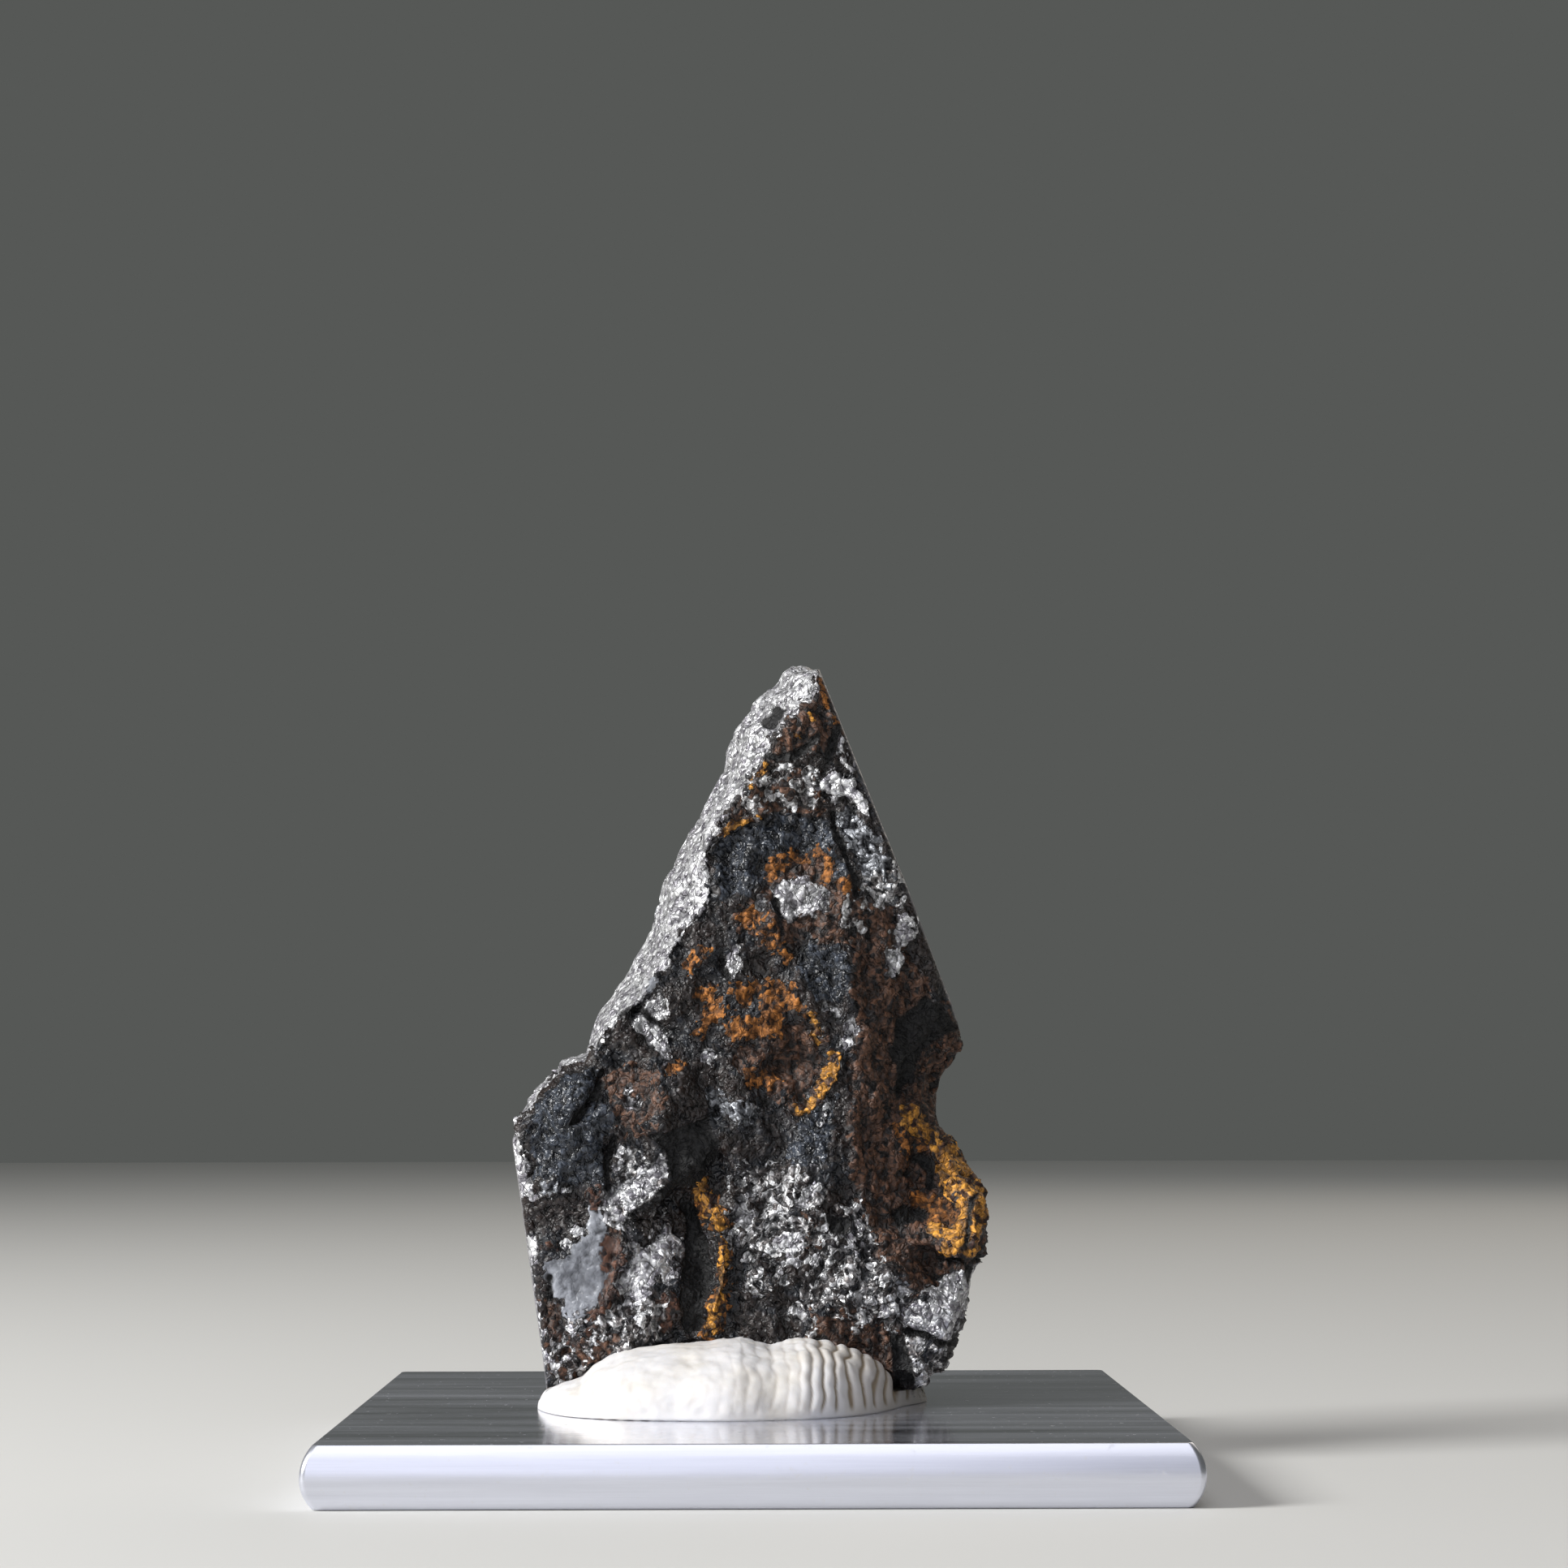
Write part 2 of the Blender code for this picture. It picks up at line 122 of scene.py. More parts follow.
# %% [markdown]
# ## Floor and light
#
# The stone was lit by a window to the left of and behind whoever took the picture, and the room behind it was
# dark. A large, soft square light stands in for the window. A plain grey surrounding keeps the polished top of
# the plate grey, because at this low angle it mirrors what is behind it. A weak light from behind keeps the
# back of the stone readable in other views.

# %% Floor, surroundings and lights
FLOOR_SIDE = 1.6
FLOOR_DROP = 0.02 * MM

bpy.ops.object.select_all(action="DESELECT")
bpy.ops.mesh.primitive_plane_add(size=FLOOR_SIDE, location=(0, 0, -FLOOR_DROP))
floor = bpy.context.object
floor.name = "floor"
painted_board, _ = new_material("pale painted board")
finish_material(painted_board, {"Base Color": colour("#CFCECA"), "Roughness": 0.7})
floor.data.materials.append(painted_board)

bpy.context.scene.world = bpy.data.worlds.new("grey room")
bpy.context.scene.world.use_nodes = True
background = bpy.context.scene.world.node_tree.nodes["Background"]
background.inputs["Color"].default_value = colour("#565856")
bpy.context.scene.view_settings.view_transform = "Standard"

LIGHTS = {
    "window": ((-0.40, -0.16, 0.24), (0.16, 0.16), 3.4, "#FFFFFF"),
    "white wall": ((-0.08, -0.60, 0.28), (0.36, 0.60), 0.80, "#F1F2FF"),
    "ceiling": ((-0.05, -0.22, 0.64), (0.55, 0.55), 1.30, "#F8F8FF"),
    "lamp behind": ((0.22, 0.34, 0.30), (0.30, 0.30), 0.30, "#FFF4E6"),
}
for name, (place, sides, power, tint) in LIGHTS.items():
    light = bpy.data.objects.new(name, bpy.data.lights.new(name, "AREA"))
    light.data.shape = "RECTANGLE"
    light.data.size, light.data.size_y = sides
    light.data.energy = power
    light.data.color = colour(tint)[:3]
    light.location = place
    light.rotation_euler = (Vector((0, 0, 0.02)) - Vector(place)).to_track_quat("-Z", "Y").to_euler()
    bpy.context.scene.collection.objects.link(light)
print(len(LIGHTS), "lights")

# %% [markdown]
# ## The plate's shape
#
# The plate is a square cut from flat aluminium bar, 3.2 mm thick. Its four sides bulge a little, because they
# were rounded over and polished, so they meet the top in a soft edge. It could be a cube with bevels, but a
# bevel takes the same width from both faces, and here the side keeps a flat arc over its whole height. So a
# square with rounded corners is extruded upwards in short steps, and each step is scaled to the arc's width.
# The polished top must mirror like a flat sheet, so the normals are weighted by the size of the faces.

# %% Model the plate
PLATE_SIDE = 45.0
PLATE_THICKNESS = 3.2
PLATE_BULGE = 0.6
PLATE_CORNER = 0.35
PLATE_STEPS = 20
PLATE_EDGE_ROUNDING = 0.06


def start_edit(piece):
    """Makes the piece the only one selected, and opens it in edit mode with nothing selected."""
    bpy.ops.object.select_all(action="DESELECT")
    piece.select_set(True)
    bpy.context.view_layer.objects.active = piece
    bpy.ops.object.mode_set(mode="EDIT")
    bpy.ops.mesh.select_all(action="DESELECT")


def apply_modifier(piece, kind, **settings):
    """Adds a modifier to the piece and applies it."""
    bpy.ops.object.select_all(action="DESELECT")
    piece.select_set(True)
    bpy.context.view_layer.objects.active = piece
    modifier = piece.modifiers.new(kind.lower(), kind)
    for name, value in settings.items():
        setattr(modifier, name, value)
    bpy.ops.object.modifier_apply(modifier=modifier.name)


def half_width_at(height):
    """Half the plate's width at a height, in millimetres."""
    radius = ((PLATE_THICKNESS / 2) ** 2 + PLATE_BULGE**2) / (2 * PLATE_BULGE)
    return PLATE_SIDE / 2 - radius + math.sqrt(radius**2 - (height - PLATE_THICKNESS / 2) ** 2)


bpy.ops.object.select_all(action="DESELECT")
bpy.ops.mesh.primitive_plane_add(size=2 * half_width_at(0) * MM)
plate = bpy.context.object
plate.name = "plate_finished"
bpy.ops.object.mode_set(mode="EDIT")
bpy.ops.mesh.select_all(action="SELECT")
bpy.ops.mesh.bevel(offset=PLATE_CORNER * MM, segments=6, affect="VERTICES")
bpy.ops.mesh.select_all(action="SELECT")
for step in range(PLATE_STEPS):
    low = PLATE_THICKNESS * step / PLATE_STEPS
    high = PLATE_THICKNESS * (step + 1) / PLATE_STEPS
    bpy.ops.mesh.extrude_region_move(TRANSFORM_OT_translate={"value": (0, 0, (high - low) * MM)})
    growth = half_width_at(high) / half_width_at(low)
    bpy.ops.transform.resize(value=(growth, growth, 1), center_override=(0, 0, 0))
bpy.ops.mesh.select_all(action="SELECT")
bpy.ops.mesh.normals_make_consistent(inside=False)
bpy.ops.object.mode_set(mode="OBJECT")
apply_modifier(plate, "BEVEL", width=PLATE_EDGE_ROUNDING * MM, segments=3, limit_method="ANGLE",
               angle_limit=math.radians(35))
bpy.ops.object.shade_smooth_by_angle(angle=math.radians(35))
apply_modifier(plate, "WEIGHTED_NORMAL", keep_sharp=True, weight=100)
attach(plate, "root")
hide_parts("display_plate")
print("plate:", len(plate.data.polygons), "faces, sides", [round(side / MM, 2) for side in plate.dimensions])

# %% [markdown]
# ## The plate's finish
#
# Drawn aluminium bar has fine streaks along its length, left by the die, and a thin film of polish and dust. A
# noise stretched along X gives the streaks. It changes the roughness most and the height very little. Wider
# streaks are haze, where dried polish scatters a little light, so there the shader is slightly less of a metal.
# The sides were rounded by hand with fine abrasive paper, so they blur what they mirror more than the top does.

# %% Finish of the plate
STREAK_WIDTH = 0.35
STREAK_LENGTH = 14.0
HAZE_WIDTH = 3.0
HAZE_LENGTH = 45.0
SIDE_ROUGHNESS = 0.30

aluminium, place = new_material("drawn aluminium bar, polished by hand")
streaks_by = {}
for name, width, length in (("fine", STREAK_WIDTH, STREAK_LENGTH), ("haze", HAZE_WIDTH, HAZE_LENGTH)):
    streak_place = add_node(aluminium, "ShaderNodeMapping", {
        "Vector": place, "Scale": (1 / length, 1 / width, 1 / width)}).outputs[0]
    streaks_by[name] = add_node(aluminium, "ShaderNodeTexNoise", {
        "Vector": streak_place, "Scale": 1.0, "Detail": 5.0, "Roughness": 0.7}).outputs[0]
streaks = streaks_by["fine"]
mottle = add_node(aluminium, "ShaderNodeTexNoise", {"Vector": place, "Scale": 0.5, "Detail": 4.0}).outputs[0]
dust = add_node(aluminium, "ShaderNodeTexNoise", {"Vector": place, "Scale": 2.2, "Detail": 8.0}).outputs[0]
dust_share = add_node(aluminium, "ShaderNodeMapRange", {
    "Value": dust, "From Min": 0.62, "From Max": 0.74, "To Max": 0.18}, interpolation_type="SMOOTHSTEP").outputs[0]
metal_colour = add_node(aluminium, "ShaderNodeMix", {0: streaks, 6: colour("#D2D4DE"), 7: colour("#EEF0FA")},
                        data_type="RGBA").outputs[2]
metal_colour = add_node(aluminium, "ShaderNodeMix", {0: dust_share, 6: metal_colour, 7: colour("#D8D4CC")},
                        data_type="RGBA").outputs[2]
haze = add_node(aluminium, "ShaderNodeMapRange", {
    "Value": streaks_by["haze"], "From Min": 0.34, "From Max": 0.70, "To Max": 0.26}).outputs[0]
haze = add_node(aluminium, "ShaderNodeMath", {0: haze, 1: dust_share}, operation="ADD").outputs[0]
metallic = add_node(aluminium, "ShaderNodeMath", {0: 1.0, 1: haze}, operation="SUBTRACT").outputs[0]
top_roughness = add_node(aluminium, "ShaderNodeMapRange", {
    "Value": streaks, "From Min": 0.3, "From Max": 0.7, "To Min": 0.09, "To Max": 0.18}).outputs[0]
height_on_plate = add_node(aluminium, "ShaderNodeSeparateXYZ", {0: place}).outputs[2]
is_top = add_node(aluminium, "ShaderNodeMapRange", {
    "Value": height_on_plate, "From Min": PLATE_THICKNESS - 0.06, "From Max": PLATE_THICKNESS - 0.02}).outputs[0]
roughness = add_node(aluminium, "ShaderNodeMix", {0: is_top, 2: SIDE_ROUGHNESS, 3: top_roughness},
                     data_type="FLOAT").outputs[0]
roughness = add_node(aluminium, "ShaderNodeMath", {0: roughness, 1: dust_share}, operation="ADD").outputs[0]
height = add_node(aluminium, "ShaderNodeMix", {0: 0.15, 2: streaks, 3: mottle}, data_type="FLOAT").outputs[0]
bump = add_node(aluminium, "ShaderNodeBump", {"Height": height, "Strength": 0.25, "Distance": 0.02 * MM}).outputs[0]
finish_material(aluminium, {"Base Color": metal_colour, "Metallic": metallic, "Roughness": roughness, "Normal": bump})
plate.data.materials.append(aluminium)
print("plate finish:", len(aluminium.node_tree.nodes), "nodes")

# %% [markdown]
# ## The putty's shape
#
# The putty was one lump, pushed round the foot of the stone with a thumb, so it still holds the ridges of the
# finger. Those ridges are half a millimetre apart. A simple way would be a bump in the material, but they
# catch the light so strongly that they are made as real relief here. A sphere with close rings is cut in half
# and laid out as a low mound inside the putty's edge, then pressed down where the stone stands in it.

# %% Lay out the putty
PUTTY_MIDDLE = (-1.0, -0.75)
PUTTY_BASE = PLATE_THICKNESS + 0.01
PUTTY_SEGMENTS = 640
PUTTY_RINGS = 200
PUTTY_FULLNESS = 2.4
PUTTY_EDGE = [
    (-11.8, -3.6), (-10.0, -7.9), (-7.3, -9.7), (-4.2, -10.3), (-1.3, -10.6), (1.4, -10.0), (4.0, -9.1),
    (6.2, -7.0), (7.5, -4.5), (8.3, -2.2), (9.8, 0.6), (9.6, 3.8), (7.6, 6.9), (4.2, 8.6), (0.2, 9.1),
    (-4.0, 8.9), (-7.8, 7.4), (-10.2, 4.6), (-11.6, 0.8),
]
PUTTY_CREST = [
    (-11.9, 1.3), (-11.2, 1.6), (-10.3, 1.75), (-9.4, 1.85), (-8.8, 2.4), (-7.8, 2.95), (-7.1, 3.25), (-5.2, 3.45),
    (-3.0, 3.75), (-0.7, 3.95), (1.0, 3.65), (2.8, 4.0), (4.2, 3.75), (5.4, 3.4), (7.3, 2.95), (8.0, 2.3),
    (8.6, 1.85), (9.5, 1.7), (9.9, 1.3),
]


def read_points(piece):
    """The piece's vertices in millimetres, as an array."""
    flat = np.empty(len(piece.data.vertices) * 3)
    piece.data.vertices.foreach_get("co", flat)
    return flat.reshape(-1, 3) / MM


def write_points(piece, points):
    """Moves the piece's vertices to these places in millimetres."""
    piece.data.vertices.foreach_set("co", (points * MM).ravel())
    piece.data.update()


def read_normals(piece):
    """The direction that each vertex faces, as an array."""
    flat = np.empty(len(piece.data.vertices) * 3)
    piece.data.vertex_normals.foreach_get("vector", flat)
    return flat.reshape(-1, 3)


bpy.ops.object.select_all(action="DESELECT")
bpy.ops.mesh.primitive_uv_sphere_add(segments=PUTTY_SEGMENTS, ring_count=PUTTY_RINGS, radius=1.0)
putty = bpy.context.object
putty.name = "putty_finished"
bpy.ops.object.mode_set(mode="EDIT")
bpy.ops.mesh.select_all(action="SELECT")
bpy.ops.mesh.bisect(plane_co=(0, 0, 0), plane_no=(0, 0, 1), clear_inner=True, use_fill=True)
bpy.ops.object.mode_set(mode="OBJECT")
ball = read_points(putty) * MM

turn = np.arctan2(ball[:, 1], ball[:, 0])
out = np.hypot(ball[:, 0], ball[:, 1]).clip(0, 1)
edge = np.array(PUTTY_EDGE) - PUTTY_MIDDLE
edge_turn = np.arctan2(edge[:, 1], edge[:, 0])
order = np.argsort(edge_turn)
steps = np.linspace(-math.pi, math.pi, 721)
edge_reach = np.interp(steps, edge_turn[order], np.hypot(*edge.T)[order], period=2 * math.pi)
window = np.hanning(33)
smooth_reach = np.convolve(np.concatenate([edge_reach[-33:-1], edge_reach, edge_reach[1:33]]), window / window.sum(),
                           "same")[32:-32]
reach = np.interp(turn, steps, smooth_reach)
mound = np.empty_like(ball)
mound[:, 0] = PUTTY_MIDDLE[0] + reach * out * np.cos(turn)
mound[:, 1] = PUTTY_MIDDLE[1] + reach * out * np.sin(turn)
print("putty laid out:", len(mound), "points")

# %% [markdown]
# The height follows a line along the crest, read from left to right, and falls to both edges in a full, round
# curve. After the ridges, the stone's foot is pressed in: where the solid stone stands, the putty drops to just under
# it.

# %% Raise the putty
rim_x = PUTTY_MIDDLE[0] + smooth_reach * np.cos(steps)
rim_y = PUTTY_MIDDLE[1] + smooth_reach * np.sin(steps)
near_half, far_half = rim_y < -1.5, rim_y > -1.5
near_order, far_order = np.argsort(rim_x[near_half]), np.argsort(rim_x[far_half])
near_edge = np.interp(mound[:, 0], rim_x[near_half][near_order], rim_y[near_half][near_order])
far_edge = np.interp(mound[:, 0], rim_x[far_half][far_order], rim_y[far_half][far_order])
across = (2 * mound[:, 1] - near_edge - far_edge) / (far_edge - near_edge)
crest_x, crest_height = np.array(PUTTY_CREST).T
crest = np.interp(mound[:, 0], crest_x, crest_height)
rise = (1 - np.abs(across).clip(0, 1) ** PUTTY_FULLNESS) ** (1 / PUTTY_FULLNESS)
rise = np.minimum(rise, (1 - out**10).clip(0, 1) ** 0.5)
mound[:, 2] = PUTTY_BASE + (crest * rise).clip(0, None)
write_points(putty, mound)
bpy.ops.object.shade_smooth()
print("putty height", round(mound[:, 2].max() - PUTTY_BASE, 2), "mm")

# %% [markdown]
# A fingertip's ridges run in arcs round a middle. The height of a ridge is the sine of the distance to that
# middle, raised to a small power, which makes round crests and narrow valleys. They are deep at the right, where
# the thumb rolled off, and faint elsewhere. The valleys and that end are darkened with painted shade, so its
# amount is stored with the points.

# %% Press the finger ridges in
RIDGE_PITCH = 0.70
RIDGE_HEIGHT = 0.15
THUMB_MIDDLE = (-4.5, -10.0, 4.6)
THUMB_STRETCH = (1.0, 0.25, 0.6)
FAR_THUMB_MIDDLE = (-15.0, 10.0, 6.0)


def fractal(points, size, octaves, seed):
    """Soft noise of about -1 to 1 at each point, with lumps of the given size in millimetres."""
    shifted = (points + np.array((17.0, 5.0, 29.0)) * seed) / size
    return np.array([noise.fractal(spot, 0.9, 2.0, octaves) for spot in map(Vector, shifted)])


def smooth_step(value, low, high):
    """0 below low, 1 above high and a smooth rise between."""
    share = ((value - low) / (high - low)).clip(0, 1)
    return share * share * (3 - 2 * share)


normals = read_normals(putty)
wander = fractal(mound, 2.4, 2, 1)
front = mound[:, 1] < -1
middle = np.where(front[:, None], THUMB_MIDDLE, FAR_THUMB_MIDDLE)
radius = np.linalg.norm((mound - middle) * THUMB_STRETCH, axis=1) + 0.32 * wander
ridges = np.abs(np.sin(math.pi * radius / RIDGE_PITCH)) ** 0.7 - 0.6
strength = 0.05 + 0.20 * smooth_step(mound[:, 0], -2.5, 1.5) + 0.75 * smooth_step(mound[:, 0], 2.2, 4.0)
strength = np.where(front, strength, 0.25)
strength *= smooth_step(mound[:, 2] - PUTTY_BASE, 0.1, 0.7)
lumps = 0.14 * fractal(mound, 2.6, 3, 2) + 0.03 * fractal(mound, 0.7, 2, 3)
lift = RIDGE_HEIGHT * strength * ridges + lumps * smooth_step(mound[:, 2] - PUTTY_BASE, 0.05, 0.5)
mound += normals * lift[:, None]
write_points(putty, mound)
# Painted shade: the ridge valleys and the right end are darkened, and the amount is kept on the points.
painted_shade = putty.data.attributes.new("painted_shade", "FLOAT", "POINT")
valley_and_end_shade = smooth_step(0.15 - ridges, 0.0, 0.6) * strength + 0.45 * smooth_step(mound[:, 0], 3.5, 8.0)
painted_shade.data.foreach_set("value", valley_and_end_shade.clip(0, 1).astype(np.float32))
print("ridges up to", round(RIDGE_HEIGHT * strength.max(), 3), "mm high")

# %% [markdown]
# The foot of the stone: the solid stone's own front and back faces near the putty say where it stands.

# %% Make room for the foot
FOOT_DEPTH = 4.05
FOOT_TOP = 7.6
SLOT_SKIN = 0.08

solid = read_points(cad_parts["meteorite"])
foot = solid[(solid[:, 2] < FOOT_TOP)]
columns = np.arange(foot[:, 0].min(), foot[:, 0].max() + 0.4, 0.4)
front_face = np.array([foot[np.abs(foot[:, 0] - column) < 0.5][:, 1].min() for column in columns])
front_of_stone = np.interp(mound[:, 0], columns, front_face)
under_stone = (mound[:, 0] > columns[0] + 0.3) & (mound[:, 0] < columns[-1] - 0.3)
under_stone &= (mound[:, 1] > front_of_stone + SLOT_SKIN) & (mound[:, 1] < 3.5 - SLOT_SKIN)
mound[under_stone, 2] = np.minimum(mound[under_stone, 2], FOOT_DEPTH)
write_points(putty, mound)
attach(putty, "root")
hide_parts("putty")
print("pressed down", int(under_stone.sum()), "points under the stone")

# %% [markdown]
# ## The putty's finish
#
# Adhesive putty is a soft, filled rubber. It is off-white, slightly glossy and lets a little light in, which
# softens the shadows between its ridges. Faint cream blotches are dirt from the fingers. The brown in the valleys
# and at the right end is painted shade.

# %% Finish of the putty
off_white, place = new_material("white adhesive putty, pressed by hand")
blotches = add_node(off_white, "ShaderNodeTexNoise", {"Vector": place, "Scale": 0.35, "Detail": 5.0}).outputs[0]
blotch_share = add_node(off_white, "ShaderNodeMapRange", {
    "Value": blotches, "From Min": 0.4, "From Max": 0.65}).outputs[0]
skin = add_node(off_white, "ShaderNodeTexNoise", {"Vector": place, "Scale": 9.0, "Detail": 3.0}).outputs[0]
putty_colour = add_node(off_white, "ShaderNodeMix", {0: blotch_share, 6: colour("#DDDBDA"), 7: colour("#D9D4CC")},
                        data_type="RGBA").outputs[2]
# Painted shade: the putty turns brown where the stored amount is high, in the valleys and at the right end.
painted_shade_share = add_node(off_white, "ShaderNodeAttribute", attribute_name="painted_shade").outputs["Fac"]
putty_colour = add_node(off_white, "ShaderNodeMix", {0: painted_shade_share, 6: putty_colour, 7: colour("#8C7D68")},
                        data_type="RGBA").outputs[2]
bump = add_node(off_white, "ShaderNodeBump", {"Height": skin, "Strength": 0.3, "Distance": 0.02 * MM}).outputs[0]
finish_material(off_white, {
    "Base Color": putty_colour, "Roughness": 0.4, "IOR": 1.5, "Subsurface Weight": 0.25,
    "Subsurface Radius": (1.0, 0.85, 0.7), "Subsurface Scale": 0.6 * MM, "Normal": bump})
putty.data.materials.append(off_white)
print("putty finish:", len(off_white.node_tree.nodes), "nodes")

# %% [markdown]
# ## The stone's fine surface
#
# The solid stone has its outline, lumps and ledges. Its skin needs detail ten times finer: flakes of rust
# scale, cracks, torn metal. A copy of the solid has its doubles merged and its sharp edges creased, and two
# levels of subdivision give it points 0.15 mm apart. Each point is then moved along its normal. That could be
# done with a stack of displace modifiers, but the relief here depends on what covers each spot, so it is
# worked out in code together with the finish.

# %% Copy and divide the stone
CREASE_ANGLE = math.radians(55)

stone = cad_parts["meteorite"].copy()
stone.data = stone.data.copy()
stone.name = "meteorite_finished"
for key in list(stone.keys()):
    del stone[key]
stone.parent = None
bpy.context.scene.collection.objects.link(stone)
start_edit(stone)
bpy.ops.mesh.select_all(action="SELECT")
bpy.ops.mesh.remove_doubles(threshold=0.001 * MM)
bpy.ops.mesh.select_all(action="DESELECT")
bpy.ops.mesh.select_mode(type="EDGE")
bpy.ops.mesh.edges_select_sharp(sharpness=CREASE_ANGLE)
bpy.ops.transform.edge_crease(value=0.85)
bpy.ops.mesh.mark_sharp()
bpy.ops.object.mode_set(mode="OBJECT")
apply_modifier(stone, "SUBSURF", levels=2, render_levels=2)
bpy.ops.object.shade_smooth()
points = read_points(stone)
normals = read_normals(stone)
x, depth, z = points.T
print("stone:", len(points), "points,", len(stone.data.polygons), "faces")
